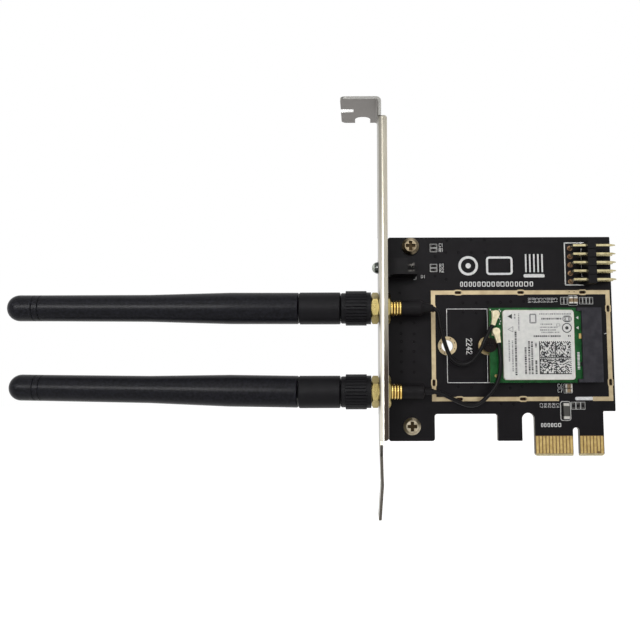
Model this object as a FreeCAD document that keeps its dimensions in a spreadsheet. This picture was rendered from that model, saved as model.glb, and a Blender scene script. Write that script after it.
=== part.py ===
"""Wireless adapter card: an edge-connector carrier board with a plug-in radio module,
a full-height slot bracket and two tilt-and-swivel rod antennas.

Frame: millimetres, +Z up. The card stands on its edge contacts with the component side
facing -Y and the slot bracket at -X. The origin is on the key slot's centre line, at the
lower edge of the contacts, in the middle of the board's thickness.
"""
import FreeCAD
import Part
import Sketcher
import math
import os
import re

# Driving dimensions in millimetres and degrees
SIZES = {
    # Carrier board
    "board_thickness": 1.6,
    "board_left": -55.2,
    "board_right": 11.85,
    "board_top": 65.3,
    "board_low": 4.4,
    "lobe_low": 13.0,
    "board_corner": 0.7,
    "board_crisp": 0.3,
    "contacts_left": -12.15,
    "contacts_right": 8.15,
    "key_width": 1.9,
    "key_depth": 8.25,
    "relief_left": -15.85,
    "relief_top": 12.56,
    "cutout_left": -41.64,
    "cutout_right": -23.03,
    "cutout_top": 12.3,
    "cutout_corner": 0.8,
    "nib_corner": 0.2,
    # Edge contacts
    "edge_bevel_height": 0.6,
    "edge_bevel_depth": 0.35,
    "contact_pitch": 1.0,
    "contact_width": 0.7,
    "contact_first": 1.5,
    "contact_low": 0.75,
    "contact_high": 5.75,
    "contact_short": 4.4,
    "plating": 0.05,
    # Gold guard strip round the module, with plated oval slots
    "strip_left": -41.73,
    "strip_right": 10.65,
    "strip_top": 48.45,
    "strip_low": 16.65,
    "strip_width": 1.25,
    "strip_end_left": -4.8,
    "strip_end_right": 5.2,
    "slot_length": 2.0,
    "slot_width": 0.9,
    "slot_rim": 0.4,
    "slot_depth": 1.2,
    "slot_west": -34.2,
    "slot_middle": -15.4,
    "slot_east": 3.15,
    "slot_high": 43.5,
    "slot_low": 21.5,
    # Module screw positions
    "module_hole_x": -25.6,
    "module_hole_z": 32.45,
    "hole_step": 12.0,
    "module_hole_radius": 1.75,
    "hole_pad_radius": 2.8,
    # Slot bracket
    "bracket_x": -58.2,
    "bracket_mid_y": -6.0,
    "plate_width": 18.42,
    "sheet": 0.8,
    "bend_radius": 0.6,
    "bracket_height": 120.02,
    "tab_under": 102.7,
    "tab_reach": 11.0,
    "tab_corner": 1.6,
    "slit_y": -0.4,
    "slit_width": 2.0,
    "slit_mouth": 2.6,
    "slit_depth": 3.8,
    "notch_offset": 4.45,
    "notch_width": 4.7,
    "notch_depth": 4.8,
    "flange_width": 2.45,
    "flange_low": 5.6,
    "flange_high": 97.9,
    "flange_corner": 0.9,
    "tongue_width": 10.2,
    "shoulder_high": 5.0,
    "shoulder_low": 1.0,
    "tongue_knee_share": 0.558,
    "tongue_set": 0.35,
    "tongue_kick": 0.35,
    "lug_width": 5.5,
    "lug_relief": 0.7,
    "lug_margin": 3.4,
    # Bracket screws
    "screw_x": -48.4,
    "screw_upper_z": 62.45,
    "screw_lower_z": 8.75,
    "screw_radius": 1.45,
    "screw_clearance": 0.12,
    "screw_head_radius": 2.55,
    "screw_head_height": 1.9,
    "screw_crown": 0.8,
    "screw_cross": 2.9,
    "screw_cross_width": 1.05,
    "screw_cross_depth": 1.1,
    # Coaxial jacks through the bracket
    "jack_y": -7.0,
    "jack_upper_z": 43.1,
    "jack_lower_z": 18.95,
    "jack_radius": 3.15,
    "jack_clearance": 0.1,
    "jack_reach": 6.4,
    "jack_bore": 2.3,
    "jack_bore_depth": 5.0,
    "jack_hex": 8.0,
    "jack_hex_length": 2.6,
    "hex_chamfer": 0.43,
    "hex_rim": 0.06,
    "jack_neck_radius": 1.6,
    "nut_flats": 8.0,
    "nut_thickness": 2.15,
    "ferrule_radius": 2.28,
    "ferrule_groove": 0.32,
    "ferrule_pitch": 0.81,
    "ferrule_bore_gap": 0.04,
    "boot_upper_radius": 2.2,
    "boot_upper_length": 5.6,
    "boot_upper_taper": 0.9,
    "boot_upper_neck": 1.6,
    "boot_upper_reach": 2.65,
    "boot_upper_tip": 1.0,
    "boot_lower_radius": 2.05,
    "boot_lower_length": 6.05,
    "boot_lower_taper": 0.4,
    "boot_lower_neck": 1.0,
    "boot_lower_reach": 2.6,
    "boot_lower_tip": 0.8,
    # Pigtail cables and their snap-on plugs
    "cable_radius": 0.6,
    "plug_radius": 1.1,
    "plug_bore": 0.85,
    "plug_height": 1.35,
    "plug_roof": 0.35,
    "plug_lift": 0.45,
    "plug_tail_root": 1.8,
    "plug_tail_width": 1.2,
    "plug_tail_length": 3.35,
    "plug_tail_height": 1.25,
    "port_upper_x": -23.85,
    "port_upper_z": 41.5,
    "port_lower_x": -23.85,
    "port_lower_z": 36.35,
    "port_upper_turn": 15.6,
    "port_lower_turn": -11.7,
    "port_base": 2.2,
    "port_base_height": 0.35,
    "port_ring": 0.75,
    "port_ring_height": 1.1,
    # Antenna coupling nuts
    "coupling_gap": 0.1,
    "collar_radius": 4.45,
    "nut_collar_radius": 4.65,
    "collar_length": 1.3,
    "knurl_radius": 5.03,
    "knurl_length": 6.0,
    "knurl_depth": 0.28,
    "knurl_width": 0.42,
    "knurl_count": 32,
    "rear_collar_length": 1.4,
    "insert_radius": 3.75,
    "insert_bore": 3.25,
    "insert_length": 6.6,
    "insert_setback": 0.3,
    "insert_gap": 0.04,
    # Antenna elbows, knuckles and whips
    "elbow_gap": 0.15,
    "elbow_radius": 4.65,
    "elbow_length": 11.9,
    "edge_chamfer": 0.25,
    "stem_radius": 2.5,
    "stem_gap": 0.06,
    "lip_radius": 3.05,
    "lip_length": 0.35,
    "pin_setback": 4.2,
    "pin_radius": 0.8,
    "pin_length": 8.2,
    "pin_press_gap": 0.02,
    "pin_run_gap": 0.07,
    "fork_slot": 4.2,
    "fork_reach": 4.9,
    "fork_wall": 1.1,
    "tongue_gap": 0.22,
    "eye_radius": 2.6,
    "seam_gap": 0.2,
    "spigot_radius": 3.2,
    "spigot_length": 9.0,
    "spigot_gap": 0.05,
    "whip_length": 84.4,
    "whip_base_radius": 4.57,
    "whip_neck_radius": 3.92,
    "whip_tip_radius": 3.79,
    "whip_tip_round": 3.4,
    "whip_shoulder": 19.9,
    "whip_taper": 23.5,
    "whip_wall": 1.3,
    "ring_offset": 7.9,
    "ring_spacing": 1.8,
    "ring_width": 0.35,
    "ring_depth": 0.16,
    "upper_lean": 0.2,
    "lower_lean": 1.0,
    "lower_fold": 1.9,
    "radiator_sleeve_radius": 1.9,
    "radiator_sleeve_length": 24.0,
    "radiator_rod_radius": 0.6,
    "radiator_rod_length": 42.0,
    # Radio module in its edge socket
    "module_length": 30.0,
    "module_width": 22.0,
    "module_thickness": 0.8,
    "module_lift": 2.4,
    "module_moon": 1.75,
    "module_tongue_width": 19.85,
    "module_tongue_length": 4.45,
    "module_key_offset": 4.75,
    "module_key_width": 1.2,
    "module_key_depth": 3.5,
    "shield_left": -21.9,
    "shield_right": -1.1,
    "shield_edge": 0.8,
    "shield_height": 1.5,
    "shield_wall": 0.2,
    "shield_corner": 0.9,
    "label_margin": 0.15,
    "label_corner": 0.6,
    "label_thickness": 0.08,
    "standoff_radius": 2.3,
    "standoff_bore": 1.0,
    "standoff_shank_radius": 1.65,
    "module_screw_radius": 0.95,
    "module_screw_head": 2.15,
    "module_screw_crown": 0.5,
    "socket_left": 1.4,
    "socket_right": 7.2,
    "socket_margin": 0.05,
    "socket_height": 4.2,
    "socket_gap": 0.08,
    "socket_slot_spare": 0.3,
    "tail_pitch": 0.5,
    "tail_width": 0.22,
    "tail_length": 0.4,
    "tail_thickness": 0.15,
    "tail_margin": 1.2,
    # Right-angle pin header
    "pin_pitch": 2.54,
    "pin_side": 0.64,
    "header_top_z": 61.9,
    "header_leg_x": -0.25,
    "header_body_x": 3.4,
    "header_tip_x": 11.9,
    "pin_taper": 1.3,
    "pin_tip_side": 0.3,
    "header_row_low": 1.6,
    "header_body_lift": 0.35,
    "header_rib": 0.35,
    "pin_hole_radius": 0.52,
    "pin_tail": 1.1,
    # Status light in a right-angle holder
    "light_z": 55.3,
    "light_height": 4.2,
    "light_radius": 1.75,
    "light_gap": 0.1,
    "light_reach": 1.9,
    "light_body": 5.9,
    "light_dome": 1.8,
    "holder_left": -56.6,
    "holder_window": -49.7,
    "holder_right": -46.9,
    "holder_size": 4.7,
    "holder_floor": 0.7,
    "holder_height": 7.8,
    "lead_x": -47.7,
    "lead_side": 0.5,
    "lead_spacing": 2.54,
    # Small surface-mount parts
    "chip_length": 2.0,
    "chip_width": 1.1,
    "chip_height": 0.8,
    "chip_cap": 0.45,
    "chip_cap_proud": 0.02,
    "chip_top_x": -0.5,
    "chip_top_z": 46.0,
    "chip_low_x": -1.95,
    "chip_low_z": 20.45,
    "chip_pitch": 1.35,
    "long_chip_length": 4.6,
    "long_chip_width": 1.7,
    "long_chip_height": 1.0,
    "long_chip_cap": 0.8,
    "long_chip_x": -2.9,
    "long_chip_z": 13.1,
}

doc = FreeCAD.newDocument("wireless_adapter_card")
sheet = doc.addObject("Spreadsheet::Sheet", "sizes")
for row, (alias, value) in enumerate(SIZES.items(), start=1):
    sheet.set(f"A{row}", alias)
    sheet.set(f"B{row}", str(value))
    sheet.setAlias(f"B{row}", alias)
doc.recompute()

# Levels and stations worked out from the driving dimensions
FACE = "(-board_thickness / 2)"
BACK = "(board_thickness / 2)"
PLATE_INNER = "(bracket_x + sheet)"
MODULE_UNDER = f"({FACE} - module_lift)"
MODULE_FACE = f"({MODULE_UNDER} - module_thickness)"
MODULE_LOW = "(module_hole_z - module_width / 2)"
MODULE_HIGH = "(module_hole_z + module_width / 2)"
SOCKET_LOW = f"({MODULE_LOW} + socket_margin)"
SOCKET_HIGH = f"({MODULE_HIGH} - socket_margin)"
NUT_END = "(bracket_x - nut_thickness)"
COUPLING_RIGHT = f"({NUT_END} - coupling_gap)"
KNURL_RIGHT = f"({COUPLING_RIGHT} - collar_length)"
KNURL_LEFT = f"({KNURL_RIGHT} - knurl_length)"
COUPLING_LEFT = f"({KNURL_LEFT} - rear_collar_length)"
COUPLING_SEAT = f"({COUPLING_RIGHT} - insert_setback - insert_length)"
ELBOW_RIGHT = f"({COUPLING_LEFT} - elbow_gap)"
SEAM = f"({ELBOW_RIGHT} - elbow_length)"
PIN_X = f"({SEAM} + pin_setback)"
JACK_HEX_END = f"({PLATE_INNER} + jack_hex_length)"
FERRULE_END = f"({JACK_HEX_END} + 4 * ferrule_pitch)"
SIDES = ("upper", "lower")
AXIS_TURNS = {
    "x": FreeCAD.Rotation(FreeCAD.Vector(0, 1, 0), 90),
    "y": FreeCAD.Rotation(FreeCAD.Vector(1, 0, 0), -90),
    "z": FreeCAD.Rotation(),
}


def bound(formula):
    """A formula over size names, with each name tied to its spreadsheet cell."""
    return re.sub(r"[a-z][a-z_]*", lambda m: f"sizes.{m[0]}" if m[0] in SIZES else m[0], str(formula))


def number(formula):
    """The present value of a formula over size names."""
    return float(sheet.evalExpression(str(formula)))


def bind(thing, prop, formula):
    thing.setExpression(prop, bound(formula))


def place(thing, x="0", y="0", z="0", turn=None):
    """Put an object at a bound place, turned by a fixed rotation."""
    thing.Placement = FreeCAD.Placement(FreeCAD.Vector(), turn or FreeCAD.Rotation())
    for axis, formula in zip("xyz", (x, y, z)):
        bind(thing, f"Placement.Base.{axis}", formula)
    return thing


def block(name, low, high):
    """A box between two corners."""
    box = doc.addObject("Part::Box", name)
    for prop, start, end in zip(("Length", "Width", "Height"), low, high):
        bind(box, prop, f"({end}) - ({start})")
    return place(box, *low)


def rod(name, axis, start, length, radius):
    """A cylinder along one axis from a start point."""
    cylinder = doc.addObject("Part::Cylinder", name)
    bind(cylinder, "Radius", radius)
    bind(cylinder, "Height", length)
    return place(cylinder, *start, turn=AXIS_TURNS[axis])


def hexagon(name, start, length, flats):
    """A hexagonal bar along X."""
    prism = doc.addObject("Part::Prism", name)
    prism.Polygon = 6
    bind(prism, "Circumradius", f"({flats}) / sqrt(3)")
    bind(prism, "Height", length)
    return place(prism, *start, turn=AXIS_TURNS["x"])


def taper(name, length, root, tip, start, turn):
    """A bar along its own Y that narrows; each end is ((x low, x high), (z low, z high))."""
    bar = doc.addObject("Part::Wedge", name)
    spans = {"X": root[0], "Y": ("0", length), "Z": root[1], "X2": tip[0], "Z2": tip[1]}
    for prop, (low, high) in spans.items():
        bind(bar, f"{prop}min", low)
        bind(bar, f"{prop}max", high)
    return place(bar, *start, turn=turn)


def fuse(name, *shapes):
    joined = doc.addObject("Part::MultiFuse", name)
    joined.Shapes = list(shapes)
    joined.Refine = True
    return joined


def cut(name, base, *tools):
    trimmed = doc.addObject("Part::Cut", name)
    trimmed.Base = base
    trimmed.Tool = tools[0] if len(tools) == 1 else group(f"{name}_tools", *tools)
    trimmed.Refine = True
    return trimmed


def group(name, *shapes):
    """Several separate solids in one node."""
    compound = doc.addObject("Part::Compound", name)
    compound.Links = list(shapes)
    return compound


def new_sketch(body, role, name, lift="0"):
    """A sketch on one of the body's origin planes, lifted along the plane's normal."""
    sketch = body.newObject("Sketcher::SketchObject", name)
    plane = next(feature for feature in body.Origin.OriginFeatures if feature.Role == role)
    sketch.AttachmentSupport = [(plane, "")]
    sketch.MapMode = "FlatFace"
    bind(sketch, "AttachmentOffset.Base.z", lift)
    return sketch


def pin_point(sketch, geometry, point, u, v):
    """Tie a sketch point to a bound place from the sketch's origin."""
    for kind, formula in (("DistanceX", u), ("DistanceY", v)):
        row = Sketcher.Constraint(kind, -1, 1, geometry, point, number(formula))
        bind(sketch, f"Constraints[{sketch.addConstraint(row)}]", formula)


def add_polygon(sketch, points):
    """A closed outline of straight lines through bound points."""
    first = sketch.GeometryCount
    count = len(points)
    corners = [FreeCAD.Vector(number(u), number(v), 0) for u, v in points]
    for index in range(count):
        sketch.addGeometry(Part.LineSegment(corners[index], corners[(index + 1) % count]), False)
    for index in range(count):
        following = first + (index + 1) % count
        sketch.addConstraint(Sketcher.Constraint("Coincident", first + index, 2, following, 1))
    for index, (u, v) in enumerate(points):
        pin_point(sketch, first + index, 1, u, v)


def add_circle(sketch, u, v, radius):
    centre = FreeCAD.Vector(number(u), number(v), 0)
    index = sketch.addGeometry(Part.Circle(centre, FreeCAD.Vector(0, 0, 1), number(radius)), False)
    row = sketch.addConstraint(Sketcher.Constraint("Radius", index, number(radius)))
    bind(sketch, f"Constraints[{row}]", radius)
    pin_point(sketch, index, 3, u, v)


def add_oval(sketch, u, v, length, width, along):
    """A slot with round ends, lying along the sketch's u or v direction."""
    radius = f"(({width}) / 2)"
    half = f"((({length}) - ({width})) / 2)"
    first = sketch.GeometryCount
    ends = [(f"({u}) {sign} {half}", v) if along == "u" else (u, f"({v}) {sign} {half}") for sign in "+-"]
    start = -math.pi / 2 if along == "u" else 0
    up = FreeCAD.Vector(0, 0, 1)
    for side, (end_u, end_v) in enumerate(ends):
        circle = Part.Circle(FreeCAD.Vector(number(end_u), number(end_v), 0), up, number(radius))
        low = start + side * math.pi
        sketch.addGeometry(Part.ArcOfCircle(circle, low, low + math.pi), False)
    arcs = [sketch.Geometry[first + side] for side in range(2)]
    sketch.addGeometry(Part.LineSegment(arcs[0].EndPoint, arcs[1].StartPoint), False)
    sketch.addGeometry(Part.LineSegment(arcs[1].EndPoint, arcs[0].StartPoint), False)
    for a, a_point, b, b_point in ((0, 2, 2, 1), (2, 2, 1, 1), (1, 2, 3, 1), (3, 2, 0, 1)):
        sketch.addConstraint(Sketcher.Constraint("Tangent", first + a, a_point, first + b, b_point))
    row = sketch.addConstraint(Sketcher.Constraint("Radius", first, number(radius)))
    bind(sketch, f"Constraints[{row}]", radius)
    for side, (end_u, end_v) in enumerate(ends):
        pin_point(sketch, first + side, 3, end_u, end_v)


def pad(body, sketch, length):
    """Fill a sketch, half of the length to each side of it."""
    feature = body.newObject("PartDesign::Pad", f"{sketch.Name}_pad")
    feature.Profile = sketch
    feature.SideType = "Symmetric"
    bind(feature, "Length", length)
    doc.recompute()
    return feature


def pocket(body, sketch, length=None):
    """Cut both ways from the sketch, right through the body or over a length."""
    before = body.Shape.Volume
    feature = body.newObject("PartDesign::Pocket", f"{sketch.Name}_pocket")
    feature.Profile = sketch
    feature.SideType = "Symmetric"
    if length:
        bind(feature, "Length", length)
    else:
        feature.Type = "ThroughAll"
    doc.recompute()
    if body.Shape.Volume >= before:
        raise RuntimeError(f"{sketch.Name} cuts nothing")
    return feature


def revolve(body, sketch):
    """Turn a half profile about the sketch's horizontal axis."""
    feature = body.newObject("PartDesign::Revolution", f"{sketch.Name}_turned")
    feature.Profile = sketch
    feature.ReferenceAxis = (sketch, ["H_Axis"])
    feature.Angle = 360
    doc.recompute()
    return feature


def round_edges(body, name, radius, direction, places):
    """Round the straight edges that run along one axis through the given places."""
    base = body.Tip
    across = [axis for axis in range(3) if axis != "xyz".index(direction)]
    names = []
    for index, edge in enumerate(base.Shape.Edges, start=1):
        low, high = edge.BoundBox, None
        high = (low.XMax, low.YMax, low.ZMax)
        low = (low.XMin, low.YMin, low.ZMin)
        if any(high[axis] - low[axis] > 1e-4 for axis in across):
            continue
        for spot in places:
            if all(abs(low[axis] - number(spot[n])) < 1e-3 for n, axis in enumerate(across)):
                names.append(f"Edge{index}")
    if not names:
        raise RuntimeError(f"{name} finds no edge")
    feature = body.newObject("PartDesign::Fillet", name)
    feature.Base = (base, names)
    bind(feature, "Radius", radius)
    doc.recompute()
    return feature


def turned_body(name, profile, x="0", y="0", z="0", turn=None):
    """A body turned about its own X axis from (station, radius) points."""
    body = doc.addObject("PartDesign::Body", name)
    sketch = new_sketch(body, "XZ_Plane", f"{name}_profile")
    add_polygon(sketch, profile)
    revolve(body, sketch)
    place(body, x, y, z, turn)
    return body


def chamfered_hexagon(name, start, length, flats, ends):
    """A hexagonal bar along X with its corners turned down at the named ends."""
    rim, corner = f"({flats} / 2 - hex_rim)", f"({flats} / sqrt(3) + hex_rim)"
    profile = [("0", "0")]
    profile += [("0", rim), ("hex_chamfer", corner)] if "left" in ends else [("0", corner)]
    profile += [(f"{length} - hex_chamfer", corner), (length, rim)] if "right" in ends else [(length, corner)]
    profile += [(length, "0")]
    turned = doc.addObject("Part::Common", name)
    turned.Base = hexagon(f"{name}_bar", start, length, flats)
    turned.Tool = turned_body(f"{name}_turning", profile, *start)
    return turned


def oval_slots():
    """Centres and directions of the plated oval slots along the guard strip."""
    slots = [(x, "strip_top", "u") for x in ("slot_west", "slot_middle", "slot_east")]
    slots += [(x, "strip_low", "u") for x in ("slot_west", "slot_middle")]
    slots += [(x, z, "v") for x in ("strip_left", "strip_right") for z in ("slot_high", "slot_low")]
    return slots


def header_spots():
    """Row and column of each header pin: two rows of five with one place left empty."""
    return [(row, column) for row in range(2) for column in range(5) if (row, column) != (0, 0)]


def header_leg(row, column):
    """Board place of a header pin's leg."""
    return f"(header_leg_x + {1 - row} * pin_pitch)", f"(header_top_z - {column} * pin_pitch)"


def make_board():
    """Carrier board with its contact edge, key slot, reliefs, holes and plated slots."""
    body = doc.addObject("PartDesign::Body", "pcb")
    outline = new_sketch(body, "XZ_Plane", "board_outline")
    add_polygon(outline, [
        ("board_left", "board_low"), ("board_left", "board_top"),
        ("board_right", "board_top"), ("board_right", "lobe_low"),
        ("contacts_right", "lobe_low"), ("contacts_right", "0"),
        ("key_width / 2", "0"), ("key_width / 2", "key_depth"),
        ("-key_width / 2", "key_depth"), ("-key_width / 2", "0"),
        ("contacts_left", "0"), ("contacts_left", "relief_top"),
        ("relief_left", "relief_top"), ("relief_left", "board_low"),
        ("cutout_right", "board_low"), ("cutout_right", "cutout_top"),
        ("cutout_left", "cutout_top"), ("cutout_left", "board_low"),
    ])
    pad(body, outline, "board_thickness")
    round_edges(body, "board_corners", "board_corner", "y", [
        ("board_left", "board_top"), ("contacts_right", "0"), ("contacts_left", "0"),
        ("board_left", "board_low")])
    round_edges(body, "crisp_corners", "board_crisp", "y", [
        ("board_right", "board_top"), ("board_right", "lobe_low"), ("contacts_right", "lobe_low")])
    round_edges(body, "cutout_corners", "cutout_corner", "y", [
        ("cutout_left", "cutout_top"), ("cutout_right", "cutout_top"),
        ("cutout_left", "board_low")])
    round_edges(body, "nib_corners", "nib_corner", "y", [
        ("cutout_right", "board_low"), ("relief_left", "board_low")])
    round_edges(body, "relief_round", "0.48 * (contacts_left - relief_left)", "y", [
        ("contacts_left", "relief_top"), ("relief_left", "relief_top")])
    round_edges(body, "key_round", "0.48 * key_width", "y", [
        ("key_width / 2", "key_depth"), ("-key_width / 2", "key_depth")])
    holes = new_sketch(body, "XZ_Plane", "board_holes")
    for height in ("screw_upper_z", "screw_lower_z"):
        add_circle(holes, "screw_x", height, "screw_radius + screw_clearance")
    for x in ("module_hole_x", "module_hole_x - hole_step"):
        add_circle(holes, x, "module_hole_z", "module_hole_radius")
    for row, column in header_spots():
        add_circle(holes, *header_leg(row, column), "pin_hole_radius")
    for sign in "+-":
        add_circle(holes, "lead_x", f"light_z {sign} lead_spacing / 2", "pin_hole_radius")
    pocket(body, holes)
    slots = new_sketch(body, "XZ_Plane", "board_slots", f"-{FACE}")
    for x, z, along in oval_slots():
        add_oval(slots, x, z, "slot_length", "slot_width", along)
    pocket(body, slots, "2 * slot_depth")
    bevels = new_sketch(body, "YZ_Plane", "edge_bevels")
    for sign in ("-", ""):
        outside = f"{sign}(board_thickness / 2 + edge_bevel_depth)"
        inside = f"{sign}(board_thickness / 2 - 2 * edge_bevel_depth)"
        add_polygon(bevels, [
            (outside, "2 * edge_bevel_height"), (inside, "-edge_bevel_height"),
            (outside, "-edge_bevel_height")])
    pocket(body, bevels)
    return body


def make_guard_strip():
    """Open rectangle of bare gold plating, with an oval pad round each plated slot."""
    body = doc.addObject("PartDesign::Body", "guard_strip")
    half = "strip_width / 2"
    strip = new_sketch(body, "XZ_Plane", "strip_outline")
    add_polygon(strip, [
        ("strip_end_left", f"strip_low - {half}"), (f"strip_left - {half}", f"strip_low - {half}"),
        (f"strip_left - {half}", f"strip_top + {half}"), (f"strip_right + {half}", f"strip_top + {half}"),
        (f"strip_right + {half}", f"strip_low - {half}"), ("strip_end_right", f"strip_low - {half}"),
        ("strip_end_right", f"strip_low + {half}"), (f"strip_right - {half}", f"strip_low + {half}"),
        (f"strip_right - {half}", f"strip_top - {half}"), (f"strip_left + {half}", f"strip_top - {half}"),
        (f"strip_left + {half}", f"strip_low + {half}"), ("strip_end_left", f"strip_low + {half}"),
    ])
    pad(body, strip, "plating")
    rims = new_sketch(body, "XZ_Plane", "slot_rims")
    slots = new_sketch(body, "XZ_Plane", "rim_slots")
    for x, z, along in oval_slots():
        add_oval(rims, x, z, "slot_length + 2 * slot_rim", "slot_width + 2 * slot_rim", along)
        add_oval(slots, x, z, "slot_length", "slot_width", along)
    pad(body, rims, "plating")
    pocket(body, slots)
    return place(body, y=f"{FACE} - plating / 2")


def make_hole_pads():
    """Plated rings on the board's face round the two module screw holes."""
    rings = []
    for name, x in (("near", "module_hole_x"), ("far", "module_hole_x - hole_step")):
        start = (x, f"{FACE} - plating", "module_hole_z")
        disc = rod(f"{name}_pad_disc", "y", start, "plating", "hole_pad_radius")
        bore = rod(f"{name}_pad_bore", "y", start, "plating", "module_hole_radius")
        rings.append(cut(f"{name}_pad", disc, bore))
    return group("hole_pads", *rings)


def make_contacts():
    """Two faces of plated edge contacts, eleven before the key slot and seven after it."""
    fingers = []
    before_key, after_key, short_one = 11, 7, 5
    for face, low in (("front", f"{FACE} - plating"), ("rear", BACK)):
        stations = [f"-contact_first - {n} * contact_pitch" for n in range(before_key)]
        stations += [f"contact_first + {n} * contact_pitch" for n in range(after_key)]
        for number_on, x in enumerate(stations):
            low_z = "contact_low"
            if number_on == before_key + short_one:
                low_z = "contact_high - contact_short"
            fingers.append(block(
                f"contact_{face}_{number_on}",
                (f"{x} - contact_width / 2", low, low_z),
                (f"{x} + contact_width / 2", f"{low} + plating", "contact_high")))
    return group("edge_contacts", *fingers)


def make_bracket_plate():
    """Slot plate with its folded tab, notches, tongue and openings, before lugs and flange."""
    body = doc.addObject("PartDesign::Body", "bracket_plate")
    half = "(plate_width / 2)"
    bottom = "(tab_under + sheet - bracket_height)"
    outer_bend = "(bend_radius + sheet)"
    knee = f"(shoulder_high + tongue_knee_share * ({bottom} - shoulder_high))"
    side = new_sketch(body, "XZ_Plane", "bracket_side")
    add_polygon(side, [
        ("0", "tab_under"), ("-tab_reach", "tab_under"), ("-tab_reach", "tab_under + sheet"),
        ("sheet", "tab_under + sheet"), ("sheet", "shoulder_high"),
        ("sheet + tongue_set", knee), ("sheet - tongue_kick", bottom),
        ("-tongue_kick", bottom), ("tongue_set", knee), ("0", "shoulder_high"),
    ])
    pad(body, side, "plate_width")
    round_edges(body, "tab_bend_inside", "bend_radius", "y", [("0", "tab_under")])
    round_edges(body, "tab_bend_outside", outer_bend, "y", [("sheet", "tab_under + sheet")])
    round_edges(body, "tab_corners", "tab_corner", "z", [
        ("-tab_reach", f"-{half}"), ("-tab_reach", half)])
    trims = new_sketch(body, "YZ_Plane", "bracket_trims")
    for sign in ("", "-"):
        add_polygon(trims, [
            (f"{sign}tongue_width / 2", f"{bottom} - sheet"), (f"{sign}tongue_width / 2", "shoulder_low"),
            (f"{sign}({half} + sheet)", "shoulder_high"), (f"{sign}({half} + sheet)", f"{bottom} - sheet")])
    add_polygon(trims, [
        (f"-{half} - sheet", "flange_low"), (f"-{half} + {outer_bend}", "flange_low"),
        (f"-{half} + {outer_bend}", "flange_high"), (f"-{half} - sheet", "flange_high")])
    pocket(body, trims)
    reliefs = new_sketch(body, "YZ_Plane", "lug_reliefs")
    edge = f"({BACK} - bracket_mid_y + sheet - {outer_bend})"
    reach = "(lug_width / 2 + lug_relief)"
    for low, high in ((f"screw_upper_z - {reach}", f"screw_upper_z + {reach}"),
                      ("shoulder_low", f"screw_lower_z + {reach}")):
        add_polygon(reliefs, [
            (edge, low), (f"{half} + sheet", low), (f"{half} + sheet", high), (edge, high)])
    pocket(body, reliefs)
    openings = new_sketch(body, "YZ_Plane", "bracket_openings")
    for height in ("jack_upper_z", "jack_lower_z"):
        add_circle(openings, "jack_y - bracket_mid_y", height, "jack_radius + jack_clearance")
    add_circle(openings, f"{FACE} - light_height - bracket_mid_y", "light_z", "light_radius + light_gap")
    pocket(body, openings)
    notches = new_sketch(body, "XY_Plane", "tab_notches")
    add_polygon(notches, [
        ("-tab_reach - sheet", "slit_y - slit_mouth / 2"),
        ("-tab_reach + slit_depth", "slit_y - slit_width / 2"),
        ("-tab_reach + slit_depth", "slit_y + slit_width / 2"),
        ("-tab_reach - sheet", "slit_y + slit_mouth / 2")])
    add_polygon(notches, [
        ("-notch_offset - notch_width / 2", f"{half} + sheet"),
        ("-notch_offset - notch_width / 2", f"{half} - notch_depth"),
        ("-notch_offset + notch_width / 2", f"{half} - notch_depth"),
        ("-notch_offset + notch_width / 2", f"{half} + sheet")])
    pocket(body, notches)
    round_edges(body, "notch_round", "0.46 * notch_width", "z", [
        ("-notch_offset - notch_width / 2", f"{half} - notch_depth"),
        ("-notch_offset + notch_width / 2", f"{half} - notch_depth")])
    return place(body, "bracket_x", "bracket_mid_y")


def make_bend(name, width, leg, reach, x, y, z, turn):
    """A sheet-metal corner: a short leg in the plate's plane and a flange at right angles."""
    body = doc.addObject("PartDesign::Body", name)
    corner = new_sketch(body, "XY_Plane", f"{name}_corner")
    add_polygon(corner, [
        ("0", "0"), (reach, "0"), (reach, "sheet"), ("sheet", "sheet"), ("sheet", leg), ("0", leg)])
    pad(body, corner, width)
    round_edges(body, f"{name}_outside", "bend_radius + sheet", "z", [("0", "0")])
    round_edges(body, f"{name}_inside", "bend_radius", "z", [("sheet", "sheet")])
    return place(body, x, y, z, turn)


def make_bracket():
    """Slot bracket folded from one sheet: plate, tab, stiffening flange and two tapped lugs."""
    outer_bend = "(bend_radius + sheet)"
    middle = "((flange_low + flange_high) / 2)"
    flange = make_bend("bracket_flange", "flange_high - flange_low", f"{outer_bend} + sheet", "flange_width",
                       "bracket_x", "bracket_mid_y - plate_width / 2", middle, None)
    reach = "(flange_width)"
    half = "((flange_high - flange_low) / 2)"
    round_edges(flange, "flange_top_round", "flange_corner", "y", [(reach, half), (reach, f"-{half}")])
    lugs = []
    mirror = FreeCAD.Rotation(FreeCAD.Vector(1, 0, 0), 180)
    for side in SIDES:
        height = f"screw_{side}_z"
        lug = make_bend(f"lug_{side}", "lug_width", f"{outer_bend} + sheet",
                        "screw_x - bracket_x + lug_margin", "bracket_x", f"{BACK} + sheet", height, mirror)
        hole = rod(f"lug_{side}_hole", "y", ("screw_x", BACK, height), "sheet",
                   "screw_radius + screw_clearance")
        lugs.append(cut(f"lug_{side}_tapped", lug, hole))
    return fuse("bracket", make_bracket_plate(), flange, *lugs)


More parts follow.
